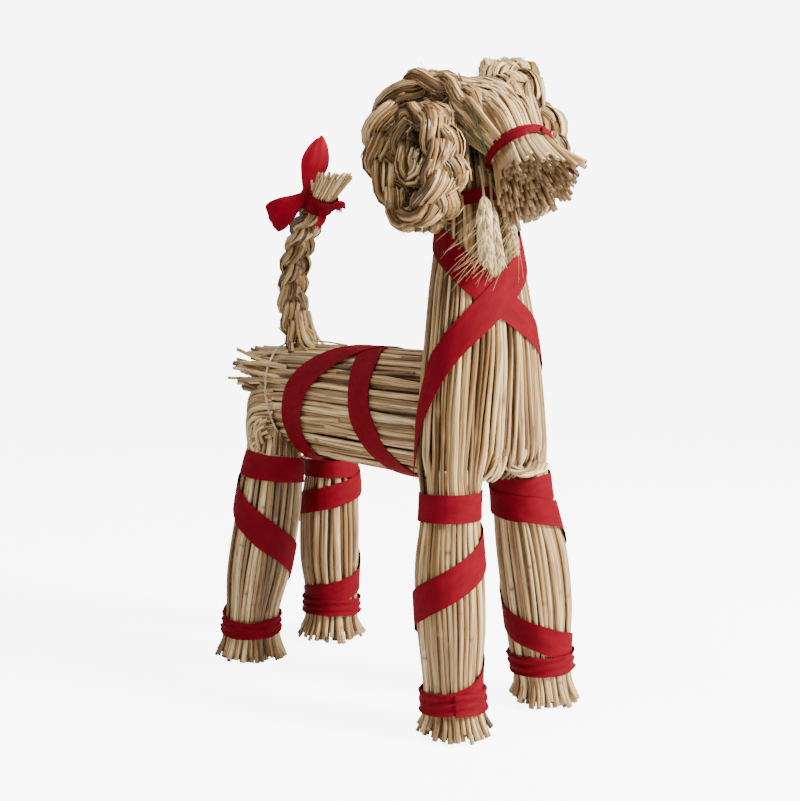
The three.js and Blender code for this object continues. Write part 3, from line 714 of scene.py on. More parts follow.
# ---- trunk ------------------------------------------------------------------------------
# the brush of cut straw behind the rump
RUMP = Bundle(
    [90, 112, 130, 156, 172],
    np.array([(0, 90, 224), (0, 112, 226), (0, 130, 239), (0, 156, 247), (0, 172, 250)], float),
    np.tile([-1.0, 0, 0], (5, 1)), np.tile([0, 0.25, 0.97], (5, 1)),
    np.array([38.5, 38, 37.5, 41, 44.0]), np.array([48, 45, 31, 23, 22.0]), np.full(5, 2.0))


def knee_straws(heap, side, rng):
    """Straws that come up a hind leg and turn forward into the trunk."""
    bundle = LEGS["hind_leg_right" if side < 0 else "hind_leg_left"]
    for depth, count in ((0.0, 40), (4.0, 34)):
        for k in range(count):
            share = (k + rng.uniform(-0.3, 0.3)) / (count - 1)
            phi = np.interp(share, [0, 0.22, 0.6, 1], [250, 200, 110, 20])
            phi = phi if side < 0 else 180 - phi
            start = 166.0 if side < 0 else 161.0
            low, _ = bundle.at(np.array([start, start + 12]), phi, -depth - 2.5)
            q = np.clip(share / 0.62, 0, 1) * rng.uniform(0.86, 1.03)
            corner_x = np.interp(share, [0, 0.3, 0.62, 1], [43, 46, 34, 10]) - depth * 0.6
            corner = np.array([side * corner_x, 112 + 30 * q - depth, 184 + 42 * q - depth])
            end_x = np.interp(share, [0, 0.6, 1], [37, 36, 12]) - depth * 0.5
            end = np.array([side * end_x, rng.uniform(101, 107), 190 + 48 * q - depth])
            turned = corner + np.array([0, -9, 8.0]) * (0.4 + 0.6 * q)
            path, _ = through([low[0], low[1], corner + [0, 1, -10], corner, turned, end], 26)
            split = rng.uniform() < 0.25
            r = rng.uniform(1.5, 2.1)
            flat = 0.45 if split else rng.uniform(0.75, 1.0)
            # the deeper layer is toned a little darker than the outer one: painted shade under it
            straw(heap, path, steady_normals(path, (side, 0.5, 0.5)), r / flat**0.3, r * flat, 7,
                  rng, -0.05 if depth else 0.05)
    # split ends folded over in the crook of the knee
    for _ in range(13):
        y, z = rng.uniform(108, 122), rng.uniform(182, 204)
        x = side * rng.uniform(40, 47)
        stalk(heap, [(x, y - 7, z + 9), (x + side * 2, y, z + 5), (x + side * 2.5, y + 1, z - 3),
                     (x + side * 1.5, y - 2, z - 12)], rng.uniform(1.0, 1.7), rng, 0.3,
              (True, True), joint=False, hint=(side, 0.4, 0))


def trunk_straws():
    """Upper straws stick out at the rump; lower ones turn down into the hind legs."""
    rng, heap = begin(30)
    core(heap, trunk, -94, 116, 5.0, 30, 16)
    for side in (-1, 1):
        filling = upright([(side * 33, 110, 156, 20, 18, 2), (side * 31, 113, 180, 19, 19, 2),
                           (side * 26, 116, 200, 17, 17, 2), (side * 20, 116, 222, 14, 12, 2)])
        core(heap, filling, 156, 222, 0, 16, 8)
        knee_straws(heap, side, rng)
    # the inner layer is toned darker: painted shade in the gaps between the outer straws
    lay_straws(heap, trunk, -94, 110, 56, 2.2, rng, depth_shift=-2.6, tone_shift=-0.35,
               step=20.0, sides=6, wander=3.0)
    for theta in trunk.angles(0, 74):
        theta = (theta + rng.normal(0, 1.3)) % 360
        r = 2.05 * rng.uniform(0.72, 1.3)
        deep = -abs(rng.normal(0, 1.0))
        if 8 < theta < 172:
            end = rng.uniform(133, 159)
            s = np.linspace(-95, 104, 24)
            body, out = trunk.at(s, theta + swerve(rng, s, 60, 3.4), deep - r)
            tail = np.linspace(116, end, 6)
            fan, fan_out = RUMP.at(tail, theta + (tail - 108) * rng.normal(0, 0.25), deep - r)
            path, normal = np.vstack([body, fan]), np.vstack([out, fan_out])
        else:
            s = np.linspace(-95, rng.uniform(103, 113), 28)
            path, normal = trunk.at(s, theta + swerve(rng, s, 60, 3.4), deep - r)
        rows, run = through(np.hstack([path, normal]), 34)
        factor, mark = joints_along(rng, run, 150.0)
        flat = rng.uniform(0.6, 1.0)
        straw(heap, rows[:, :3], unit(rows[:, 3:]), r * factor * (2 - flat) ** 0.5,
              r * factor * flat, 8, rng, -0.02, mark, (False, True))
    # a few straws lie loosely over the others
    for _ in range(12):
        theta = rng.uniform(-60, 150)
        a = rng.uniform(-90, 20)
        s = np.linspace(a, a + rng.uniform(60, 90), 14)
        path, normal = trunk.at(s, theta + (s - a) * rng.normal(0, 0.06), -0.9)
        straw(heap, path, normal, 1.5, 0.8, 7, rng, 0.1, None, (False, True))
    # the inside of the rump brush
    for share, ring_count in ((0.82, 26), (0.64, 22), (0.44, 15), (0.24, 9), (0.06, 3)):
        for k in range(ring_count):
            theta = (k + rng.uniform(-0.35, 0.35)) * 360 / ring_count
            s = np.linspace(86, rng.uniform(128, 160), 8)
            rim, normal = RUMP.at(s, theta + (s - 108) * rng.normal(0, 0.2))
            centre = RUMP.track(s)[:, 0:3]
            path = centre + (rim - centre) * share * rng.uniform(0.9, 1.1)
            tube(heap, path, normal, 1.9, 1.8, 7, straw_tone(rng, -0.08), None, (False, True))
    # short straws close the lower edge of the brush
    for _ in range(26):
        x = rng.uniform(-34, 34)
        y = rng.uniform(136, 158)
        stalk(heap, [(x * 0.9, rng.uniform(96, 104), 226 + rng.normal(0, 5)),
                     (x, 124, 230 + rng.normal(0, 4)), (x * 1.05, y, 233 + rng.normal(0, 5))],
              1.9, rng, 0.0)
    # a few straws stand clear of the brush
    for x, y, z in ((-33, 158, 266), (-29, 164, 257), (-38, 157, 250), (-40, 162, 241),
                    (-35, 156, 236), (-18, 158, 266), (8, 162, 264), (34, 160, 250)):
        stalk(heap, [(x * 0.8, 96, 243 + (z - 246) * 0.4), (x * 0.9, 125, 245 + (z - 246) * 0.6),
                     (x, y, z)], rng.uniform(1.3, 1.9), rng, 0.12)
    for _ in range(26):
        x, z = rng.uniform(-42, 40), rng.uniform(241, 266)
        stalk(heap, [(x * 0.82, 94, z - 3), (x * 0.9, 122, z - 1),
                     (x + rng.normal(0, 2.5), rng.uniform(138, 157), z + rng.normal(0, 3))],
              rng.uniform(1.3, 2.0), rng, 0.1, joint=False)
    return heap


finish_piece(trunk_straws(), "trunk_straw", STRAW, ["trunk_bundle"])


# ---- plaits -----------------------------------------------------------------------------
class Spine:
    """A curve with a flat direction, for a plait."""

    def __init__(self, rows, lean_column):
        rows = np.asarray(rows, float)
        fine, run = through(rows, 400)
        self.length = run[-1]
        self.run = run
        centre = fine[:, :3]
        tangent = unit(np.gradient(centre, axis=0))
        lean = fine[:, 3] if lean_column else np.zeros(len(fine))
        across = np.stack([np.ones(len(fine)), lean, np.zeros(len(fine))], -1)
        across = unit(across - (across * tangent).sum(-1, keepdims=True) * tangent)
        self.table = np.hstack([centre, tangent, across, np.cross(tangent, across)])

    def at(self, share):
        x = np.clip(share, 0, 1) * self.length
        row = np.stack([np.interp(x, self.run, self.table[:, i]) for i in range(12)], -1)
        over = (np.asarray(share) - np.clip(share, 0, 1)) * self.length
        row[..., 0:3] += row[..., 3:6] * over[..., None]
        return row


def horn_taper(t):
    """Size of the horn's plait at share t of its length."""
    return 1 - 0.24 * np.maximum(t - 0.45, 0) / 0.55


def tail_taper(t):
    """Size of the tail's plait at share t of its length."""
    return 1 - 0.16 * t + 0.1 * np.maximum(t - 0.85, 0) / 0.15


def strand(spine, t, k, half_width, half_depth, pitch, taper):
    """Centre and half sizes of one of three strands at shares t of the spine."""
    row = spine.at(t)
    w, d = half_width * taper(t), half_depth * taper(t)
    wide, thick = 0.44 * w, 0.62 * d
    turn = 2 * np.pi * t * spine.length / pitch + k * 2 * np.pi / 3
    centre = (row[..., 0:3] + row[..., 6:9] * ((w - wide) * np.sin(turn))[..., None]
              + row[..., 9:12] * ((d - thick) * np.sin(2 * turn))[..., None])
    return centre, row[..., 6:9], wide * (1 + 0.3 * np.abs(np.cos(turn))), thick


def plait(heap, spine, half_width, half_depth, pitch, taper, strips, strip_half, rng,
          start, end, step, loose, post, tone, painted_shade_depth):
    """Three strands of flattened straws, some loose; `post` moves points to their place. Strips on
    the plait's -x side and on its later turns are toned darker, as painted shade.
    """
    t = np.linspace(start, end, int((end - start) * spine.length / step))
    for k in range(3):
        centre, across, wide, thick = strand(spine, t, k, half_width, half_depth, pitch, taper)
        tangent = unit(np.gradient(centre, axis=0))
        across = unit(across - (across * tangent).sum(-1, keepdims=True) * tangent)
        face = np.cross(tangent, across)
        ang = np.arange(10) / 10 * 2 * np.pi
        rings = (centre[:, None]
                 + across[:, None] * (np.cos(ang) * 0.8)[None, :, None] * wide[:, None, None]
                 + face[:, None] * (np.sin(ang) * 0.72)[None, :, None] * thick[:, None, None])
        # the strand's body under its strips is dark, a low tone with some cut mark: painted shade
        # between the strips
        heap.grid(post(rings), (0.12, 0.5), np.full(len(t), 0.35), np.zeros(len(t)),
                  t * spine.length * 0.01)
        for j in range(strips + loose):
            place = 0 if j < strips else rng.integers(0, len(t) - 12)
            while place < len(t) - 4:
                high = min(place + rng.integers(14, 34), len(t))
                if j >= strips:
                    high = min(place + rng.integers(6, 11), len(t))
                span = slice(max(place - 2, 0), high)
                x = np.linspace(0, 1, span.stop - span.start)
                mm = t[span] * spine.length
                phi = (j / strips * 2 * np.pi + rng.normal(0, 0.2)
                       + wobble(rng, mm, 22.0, 0.2) + (x - 0.5) * rng.normal(0, 0.35))
                c, s = np.cos(phi)[:, None], np.sin(phi)[:, None]
                w, d = wide[span, None], thick[span, None]
                normal = unit(across[span] * c / w + face[span] * s / d)
                stray = rng.uniform(0, 1.8) if j < strips else rng.uniform(2.0, 6.5)
                rise = (rng.normal(-0.2, 0.45) + wobble(rng, mm, 14.0, 0.22)
                        + stray * np.clip(x * 5 - 4, 0, 1) ** 1.5
                        + 0.4 * stray * np.clip(1 - x * 6, 0, 1) - 0.5)
                path = (centre[span] + across[span] * c * w + face[span] * s * d
                        + normal * rise[:, None])
                half = strip_half * rng.uniform(0.5, 1.5) * (1 if j < strips else 0.45)
                half = half * (1 + 0.12 * wobble(rng, mm, 12.0, 1.0))
                half = np.clip(half, 0.5, strip_half * 1.7) * np.interp(
                    x, [0, 0.08, 0.85, 1], [0.5, 1, 1, 0.35])
                lean = rng.normal(0, 0.35) + wobble(rng, mm, 18.0, 0.25)
                flat_way = normal + np.cross(tangent[span], normal) * lean[:, None]
                # painted shade: strips that face -x, the outer side of a horn, and strips on the
                # coil's inner turns are toned darker
                shade = painted_shade_depth * (np.clip(-normal[:, 0].mean() * 1.3, 0, 1)
                               + np.clip((t[span].mean() - 0.5) / 0.2, 0, 0.6))
                straw(heap, post(path), post(path + flat_way) - post(path), half,
                      half * 0.1 + 0.14, 6, rng, tone - shade)
                place = high if j < strips else len(t)


def in_place(p):
    """Leaves points where they are."""
    return p


def left_side(p):
    """The left horn is the right one mirrored, stretched, and set lower and further out."""
    p = np.asarray(p) * np.array([-1, 1, 1.09]) + np.array([6.5, -5.0, -28.5])
    front = ease((-86 - p[..., 1]) / 24)
    low, middle = ease((404 - p[..., 2]) / 34), ease((436 - p[..., 2]) / 20)
    p[..., 1] += front * (4.0 * middle + 7.0 * low)
    p[..., 2] += 7.0 * low
    return p


HORN = Spine(HORN_PATH, True)
TAIL = Spine([(0, y, z) for y, z in TAIL_PATH], False)
# half width, half depth and pitch of a plait
HORN_SIZE = (22, 9.6, 66)
TAIL_SIZE = (14.5, 10, 52)
BOW_PLACE = 0.85  # share of the tail where the plait stops and the bow sits


def frayed_end(heap, rng, count, post):
    """Straws splay out where a horn's plait stops."""
    row = HORN.at(np.array([0.965, 1.0, 1.02]))
    w, d = HORN_SIZE[0] * horn_taper(1.0) * 0.8, HORN_SIZE[1] * horn_taper(1.0) * 0.8
    for _ in range(count):
        a, b = rng.uniform(-1, 1), rng.uniform(-1, 1)
        spread = rng.uniform(1.0, 1.5)
        points = [row[0, 0:3] + row[0, 6:9] * a * w + row[0, 9:12] * b * d,
                  row[1, 0:3] + row[1, 6:9] * a * w * spread + row[1, 9:12] * b * d * spread,
                  row[2, 0:3] + row[2, 6:9] * a * w * spread * 1.25
                  + row[2, 9:12] * b * d * spread * 1.2 + row[2, 3:6] * rng.uniform(-4, 6)]
        stalk(heap, post(np.array(points)), rng.uniform(0.9, 1.5), rng, 0.05, (False, True), 6,
              False, (1, 0.2, 0.3))


def add_horn(name, seed, post, node_name):
    rng, heap = begin(seed)
    # the horn's straws are toned lighter throughout, and painted shade darkens the outer side and
    # the inner turns
    plait(heap, HORN, *HORN_SIZE, horn_taper, 21, 2.1, rng, start=0.0, end=0.995, step=3.3,
          loose=108, post=post, tone=0.17, painted_shade_depth=0.45)
    frayed_end(heap, rng, 60, post)
    finish_piece(heap, name, PLAIT, [node_name])


def right_side(p):
    """The right horn, drawn in where its curve is too round behind."""
    p = np.array(p, float)
    behind = ease((p[..., 1] + 98) / 28)
    low, high = ease((416 - p[..., 2]) / 34), ease((p[..., 2] - 442) / 22)
    p[..., 1] += behind * (2.5 - 10.5 * low - 8.5 * high)
    p[..., 2] += behind * (2.0 * low - 2.5 * high) - 1.0
    p[..., 0] -= 0.6
    return p


add_horn("horn_right_plait", 40, right_side, "horn_right")
add_horn("horn_left_plait", 41, left_side, "horn_left")


def tail_straws():
    """The plait, the brush above the bow, and the straws spread on the back."""
    rng, heap = begin(50)
    # the tail's straws are toned darker overall: partly browner straw, partly painted shade of the
    # tail's shaded side
    plait(heap, TAIL, *TAIL_SIZE, tail_taper, 14, 2.5, rng, start=-0.05, end=BOW_PLACE, step=3.0,
          loose=14, post=in_place, tone=-0.12, painted_shade_depth=0.0)
    # the brush above the bow
    row = TAIL.at(np.array([0.8, 0.9, 1.0]))
    for share, count in ((1.0, 34), (0.84, 32), (0.68, 27), (0.5, 20), (0.32, 13), (0.14, 6)):
        for k in range(count):
            angle = (k + rng.uniform(-0.4, 0.4)) * 2 * np.pi / count
            c, s = math.cos(angle) * share, math.sin(angle) * share
            grow = (0.84, 0.96, rng.uniform(1.1, 1.36))
            points = [row[i, 0:3] + row[i, 6:9] * c * 12.5 * grow[i]
                      + row[i, 9:12] * s * 9.0 * grow[i] for i in range(3)]
            level = row[2, 2] + rng.uniform(-5, 5)
            points[2] = points[2] + row[2, 3:6] * (level - points[2][2]) / row[2, 5]
            stalk(heap, points, rng.uniform(0.55, 1.05), rng, 0.3, (False, True), 6, False,
                  (0.2, -1, 0.4))
    # straws of the plait spread on the back
    for _ in range(26):
        a = rng.uniform(-1, 1)
        ahead = rng.uniform(-1, 1)
        stalk(heap, [(a * 10, 114 + ahead * 6, 300), (a * 12, 111 + ahead * 8, 284),
                     (a * 15, 108 + ahead * 12, 275 - abs(a) * 2),
                     (a * 19, 104 + ahead * 22, 270 - abs(a) * 5)],
              rng.uniform(1.2, 1.9), rng, 0.05, (False, False), 6, False, (0, 0.3, 1))
    stalk(heap, [(-4, 104, 318), (-5, 95, 300), (-6, 87, 285), (-7, 82, 275.5)], 0.9, rng, 0.0,
          joint=False)
    stalk(heap, [(-8, 86, 275.5), (-10, 60, 275.0), (-13, 34, 273.6)], 0.9, rng, -0.1,
          (True, True), joint=False)
    return heap


finish_piece(tail_straws(), "tail_plait_straw", PLAIT, ["tail_plait"])


# ---- head -------------------------------------------------------------------------------
def crown_straws(heap, rng):
    """Flat straws from the crown into the tie."""
    # the lower layer is toned darker: painted shade under the upper straws
    for deep, count, shift in ((-3.0, 40, -0.22), (0.0, 56, 0.0)):
        for theta in head.angles(3, count):
            s = np.linspace(rng.uniform(0.1, 0.8), 5.2, 24)
            theta = theta + rng.normal(0, 3) + wobble(rng, s, 1.3, 3.5)
            path, normal = head.at(s, theta, deep - 1.0 + wobble(rng, s, 0.8, 0.4) - (s > 4.6))
            half = rng.uniform(1.1, 2.4) * np.interp(s, [0, 3, 5.1], [0.9, 1.0, 0.8])
            straw(heap, path, normal, half, half * 0.28 + 0.25, 7, rng, shift)


# the muzzle's cut straws: share of its radius, count, radius of a straw
MUZZLE_RINGS = ((0.98, 38, 1.85), (0.88, 40, 1.45), (0.78, 38, 1.35), (0.68, 34, 1.3),
                (0.57, 29, 1.3), (0.46, 23, 1.3), (0.35, 17, 1.3), (0.24, 12, 1.3),
                (0.13, 7, 1.3), (0.04, 2, 1.3))


def muzzle_straws(heap, rng):
    """Cut straws past the tie, the upper ones longest, and three that stand out."""
    for share, count, r in MUZZLE_RINGS:
        outer = share > 0.9
        for k in range(count):
            theta = (k + rng.uniform(-0.35, 0.35)) * 360 / count
            c, high = math.cos(math.radians(theta)), math.sin(math.radians(theta))
            level = 0.12 * max(high, 0) - 0.3 * min(high, 0) * (1 - 0.9 * max(c, 0))
            end = 6.5 + rng.normal(0, 0.1 if outer else 0.19) + (0.55 * c + level) * share
            s = np.linspace(4.6, end, 9)
            path, normal = head.inside(s, theta, share, -r)
            path = path + rng.normal(0, 0.6, 3) * ((s - 5) / 2)[:, None]
            droop = ease((s - 5.2) / 1.8)[:, None] * max(-high, 0) * share
            path = path + np.array([-7.0 * max(c, 0), 1.5, -6.0 + 5.0 * max(c, 0)]) * droop
            brown = np.interp(end - s, [0, 0.25, 1.0], [0.9, 1.0, 0.4])
            brown = brown * (0.5 if outer and high > 0.2 else 1.0)
            wide, thick = ((0.95, 1.5), (0.4, 0.7)) if outer else ((0.75, 1.3), (0.45, 1.0))
            shift = 0.25 if outer else -0.45 + rng.uniform(-0.45, 0.5)
            straw(heap, path, normal, r * rng.uniform(*wide), r * rng.uniform(*thick), 7, rng,
                  shift, brown, (False, True))
    for x, y, z, theta in ((15, -186, 408, 62), (8, -184, 405, 75), (19, -183, 405, 52)):
        rim, _ = head.at(4.8, theta, -2.0)
        near, _ = head.at(5.6, theta, -1.0)
        stalk(heap, [rim, near, (x, y, z)], 2.1, rng, 0.25, joint=False)


def root_place(rng, side, shares, across=None, face=None):
    """A random place at a horn's root: inside the plait, or else near its middle line."""
    row = HORN.at(np.array([rng.uniform(*shares)]))[0]
    if across is None:
        place = row[0:3] + rng.normal(0, 3, 3)
    else:
        place = row[0:3] + row[6:9] * rng.uniform(*across) + row[9:12] * rng.uniform(*face)
    return left_side(place) if side > 0 else place


def over_the_head(rng, side, turn, stations, rise):
    """How far round the head a straw from a horn's root runs, and its middle."""
    theta = 90 - side * rng.uniform(*turn)
    mid, _ = head.at(rng.uniform(*stations), theta, rng.uniform(*rise))
    return theta, mid


def root_straws(heap, rng, side):
    """Straws from a horn's root lie over the head and run into the tie."""
    for _ in range(58):
        start = root_place(rng, side, (0.03, 0.15), (-18, 18), (-6, 8))
        theta, mid = over_the_head(rng, side, (-4, 92), (3.3, 4.2), (0.8, 3.4))
        tied, out = head.at(5.1, theta, -2.0)
        path, _ = through([start, mid, tied], 16)
        half = rng.uniform(0.9, 2.4)
        straw(heap, path, steady_normals(path, out + [0, -0.2, 0.6]), half, half * 0.14 + 0.2, 7,
              rng, 0.12)
    # the cheeks, from under the horn
    for _ in range(26):
        start = root_place(rng, side, (0.09, 0.18), (-14, 16), (-4, 4))
        theta, mid = over_the_head(rng, side, (62, 140), (3.2, 4.0), (0.5, 3.0))
        tied, _ = head.at(5.1, theta, -2.0)
        path, _ = through([start, (start + mid) / 2, mid, tied], 18)
        half = rng.uniform(0.9, 1.9)
        straw(heap, path, steady_normals(path, (side, -0.4, 0.3)), half, half * 0.3 + 0.2, 7,
              rng, -0.12)
    for _ in range(30):
        start = root_place(rng, side, (0.05, 0.13))
        theta, mid = over_the_head(rng, side, (74, 128), (2.4, 3.6), (4.0, 9.0))
        tied, _ = head.at(5.0, theta, -1.0)
        path, _ = through([start, mid, tied], 16)
        half = rng.uniform(0.9, 1.7)
        straw(heap, path, steady_normals(path, (side, -0.4, 0.3)), half, half * 0.3 + 0.2, 7,
              rng, -0.05)


def head_straws():
    """The head from the crown to the muzzle's cut end."""
    rng, heap = begin(60)
    core(heap, head, 0.3, 5.6, 5.0, 24, 18)
    crown_straws(heap, rng)
    muzzle_straws(heap, rng)
    for side in (-1, 1):
        root_straws(heap, rng, side)
    return heap


finish_piece(head_straws(), "head_straw", STRAW, ["head_bundle"])


# ---- ribbons ----------------------------------------------------------------------------
# places across a ribbon, as shares of its half width
ACROSS = np.array([-1, -0.985, -0.8, -0.6, -0.4, -0.2, 0, 0.2, 0.4, 0.6, 0.8, 0.985, 1])
GATHER = 36  # a leg's ribbon draws together below this height
# rows of angle, station and layer: how the ribbon runs round each bundle
WINDINGS = {
    "front_leg_right": [
        (497, 164, 0), (137, 164, 0.15), (120, 163, 1), (47, 152, 1), (-43, 136, 1),
        (-90, 124, 0), (-223, 89.5, 0), (-313, 65, 0), (-403, 41, 0), (-450, 29, 0),
        (-493, 23, 0), (-740, 22, 0), (-760, 22, 1), (-853, 22, 1)],
    "front_leg_left": [
        (-223, 167, 0), (92, 167, 0.1), (115, 163, 1), (137, 160, 1), (317, 144, 1),
        (365, 124, 0), (407, 107, 0), (497, 70, 0), (587, 55, 0), (677, 42, 0), (737, 32, 0),
        (767, 29, 0), (1020, 28.5, 0), (1040, 28.5, 1), (1127, 28.5, 1)],
    "hind_leg_right": [
        (-263, 172, 0), (-223, 174, 0), (-133, 170, 0), (-43, 165, 0), (37, 163, 0.1), (60, 162, 1),
        (97, 157, 1), (137, 148, 1), (200, 126, 0), (227, 116, 0), (317, 85, 0), (407, 57, 0),
        (467, 38, 0), (497, 30, 0), (750, 29, 0), (770, 29, 1), (857, 29, 1)],
    "hind_leg_left": [
        (377, 163, 0), (227, 164, 0), (137, 164, 0), (77, 162, 0.1), (55, 160, 1), (17, 155, 1),
        (-43, 148, 1), (-150, 135, 1), (-223, 126, 0), (-313, 95, 0), (-403, 60, 0),
        (-583, 38, 0), (-633, 29, 0), (-890, 28, 0), (-910, 28, 1), (-993, 28, 1)]}
DOWN_RIGHT = [(195, 397, 0.5), (137, 386, 0.5), (47, 371, 0.5), (-43, 353, 0.5), (-110, 315, 0.6),
              (-165, 272, 0.5), (-187, 244, 0.5), (-198, 214, 0.5), (-202, 204, 0.5)]
DOWN_LEFT = [(-330, 396, 0), (-300, 390, 0), (-223, 366, 0), (-165, 343, 0), (-110, 313, 0),
             (-43, 280, 0), (15, 245, 0), (35, 225, 0), (45, 210, 0)]
TRUNK_BAND = [(-105, -55, 0), (-90, -51, 0), (-30, -22, 0), (0, -11, 0), (60, 2, 0), (90, 15, 0),
              (165, 68, 0), (200, 79, 0), (232, 81, 0), (285, 80, 0)]
NECK_TURN = [(-195, 380, 0), (-150, 385, 0), (-110, 389, 0), (-75, 391, 0)]


def add_strip(heap, outer, inner, rng, painted_light=False):
    """A strip of cloth from its outer and inner face, n x k x 3 each; a strip with painted light
    gets a brighter red.
    """
    run = run_along(outer.mean(axis=1))
    n = len(outer)
    u = np.concatenate([ACROSS, ACROSS[::-1]]) * WIDTH * 0.005
    tone = (max(rng.uniform(0.4, 0.6), float(painted_light)), 0.5)
    rings = np.concatenate([outer, inner[:, ::-1]], axis=1)
    heap.grid(rings, tone, np.zeros(n), np.zeros(n), run * 0.01, u)


def wound(heap, bundle, rows, width, rng, base=0.15, gathered=None):
    """A ribbon wound on a bundle along rows; below height `gathered` it draws together.

    Slanting parts are wider along the bundle, so that the ribbon keeps its width, and the
    gathered ribbons a little more than that.
    """
    rows = np.asarray(rows, float)
    sense = np.sign(rows[-1, 0] - rows[0, 0])
    travel = (rows[:, 0] - rows[0, 0]) * sense
    at = np.linspace(0, travel[-1], max(int(travel[-1] / 4.0), 8))
    angle = rows[0, 0] + at * sense
    smooth = Track(travel, rows[:, 1:2])(at)[:, 0]
    straight = np.interp(at, travel, rows[:, 1])
    station = smooth * 0.6 + straight * 0.4
    layer = np.interp(at, travel, rows[:, 2])
    section = bundle.track(station)
    radius = (section[:, 9] + section[:, 10]) / 2
    slope = np.gradient(station, at) / (radius * math.radians(1))
    half = width / 2 * (np.minimum(np.hypot(1, slope), 2.0) if gathered is None
                        else np.minimum(1 + 0.8 * slope**2, 1.7))
    edge = 1 + 0.012 * wobble(rng, at, 9.0, 1.0)
    where = station[:, None] + ACROSS[None, :] * (half * edge)[:, None]
    fold = np.zeros(where.shape)
    pinch = np.zeros(len(at))
    if gathered is not None:
        pinch = ease((gathered - station) / 6)
        drift = wobble(rng, at, 40.0, 0.5)[:, None]
        fold = (0.75 * np.cos(ACROSS * 7.5 + 0.6 + drift)
                + 0.35 * np.cos(ACROSS * 17 - drift * 2)) * pinch[:, None]
        where = ((station + 6.0 * pinch)[:, None]
                 + (where - station[:, None]) * (1 - 0.27 * pinch[:, None]))
    ripple = 0.12 * np.sin(at / 3.1)[:, None] * (1 + 0 * where)
    crease = wobble(rng, at, 11.0, 0.16)[:, None] * np.sin(ACROSS * 2.2 + rng.uniform(0, 6))
    push = base + (layer * 0.95)[:, None] + 0.8 * pinch[:, None] + fold + ripple * 0.5 + crease
    push = np.maximum(push, base * 0.6 + (layer * 0.9)[:, None])
    outer, _ = bundle.at(where, angle[:, None], push + THICK)
    inner, _ = bundle.at(where, angle[:, None], push)
    add_strip(heap, outer, inner, rng)


def free_strip(heap, points, across, widths, rng, cup, count, cut=0.0):
    """A ribbon through points; `across` is the direction of its width at every point."""
    rows = np.hstack([np.asarray(points, float), np.reshape(widths, (-1, 1)),
                      np.broadcast_to(np.asarray(across, float), (len(points), 3))])
    path, _ = through(rows, count)
    tangent = unit(np.gradient(path[:, :3], axis=0))
    side = steady_normals(path[:, :3], path[:, 4:7])
    face = np.cross(tangent, side)
    c = ACROSS[None, :, None]
    x = np.linspace(0, 1, count)[:, None, None]
    bow = cup * (c**2 - 0.3) + 0.35 * np.sin(c * 9 + x * 5) * np.sin(x * math.pi)
    along = cut * c**2 * ease((x - 0.86) / 0.14)
    middle = (path[:, None, :3] + side[:, None] * c * path[:, None, 3:4] / 2
              + face[:, None] * bow + tangent[:, None] * along)
    # the bow's free strips get the brighter red of painted light
    add_strip(heap, middle + face[:, None] * THICK / 2, middle - face[:, None] * THICK / 2, rng,
              painted_light=True)


def add_leg_ribbon(number, leg_name, rows):
    """The ribbon of one leg."""
    rng, heap = begin(70 + number)
    wound(heap, LEGS[leg_name], rows, LEG_WIDTH, rng, gathered=GATHER)
    ribbon = "ribbon_" + leg_name
    finish_piece(heap, ribbon + "_cloth", RIBBON, [ribbon])


for number, (leg_name, rows) in enumerate(WINDINGS.items()):
    add_leg_ribbon(number, leg_name, rows)


def chest_ribbon():
    """Two bands that cross on the chest."""
    rng, heap = begin(80)
    wound(heap, chest, DOWN_LEFT, WIDTH - 1, rng)
    wound(heap, chest, DOWN_RIGHT, WIDTH - 1, rng, base=0.5)
    return heap


def trunk_ribbon():
    """Two bands that cross on the back, the second the mirror of the first."""
    rng, heap = begin(81)
    wound(heap, trunk, TRUNK_BAND, WIDTH + 2, rng)
    wound(heap, trunk, [(180 - a, y, 1.0) for a, y, _ in TRUNK_BAND], WIDTH + 2, rng)
    return heap


finish_piece(chest_ribbon(), "ribbon_chest_cloth", RIBBON, ["ribbon_chest"])
finish_piece(trunk_ribbon(), "ribbon_trunk_cloth", RIBBON, ["ribbon_trunk"])


def muzzle_ribbon():
    """Two gathered turns of ribbon round the muzzle, and one part turn round the neck."""
    rng, heap = begin(82)
    for start, shift, base in ((-20, 0.0, 0.5), (120, 0.04, 1.3)):
        at = np.linspace(0, 400 if start < 0 else 330, 110)
        station = HEAD_TIE + shift + 0.03 * np.sin(at / 40)
        where = station[:, None] + ACROSS[None, :] * 0.17
        drift = wobble(rng, at, 50.0, 0.5)[:, None]
        push = (base + 0.9 + 0.8 * np.cos(ACROSS * 5 + drift) + 0.3 * np.cos(ACROSS * 15 - drift)
                - 0.8 * ACROSS**4)
        outer, _ = head.at(where, (start + at)[:, None], push + THICK)
        inner, _ = head.at(where, (start + at)[:, None], push)
        add_strip(heap, outer, inner, rng)
    wound(heap, chest, NECK_TURN, 10, rng, base=1.6)
    return heap


finish_piece(muzzle_ribbon(), "ribbon_muzzle_cloth", RIBBON, ["ribbon_muzzle"])


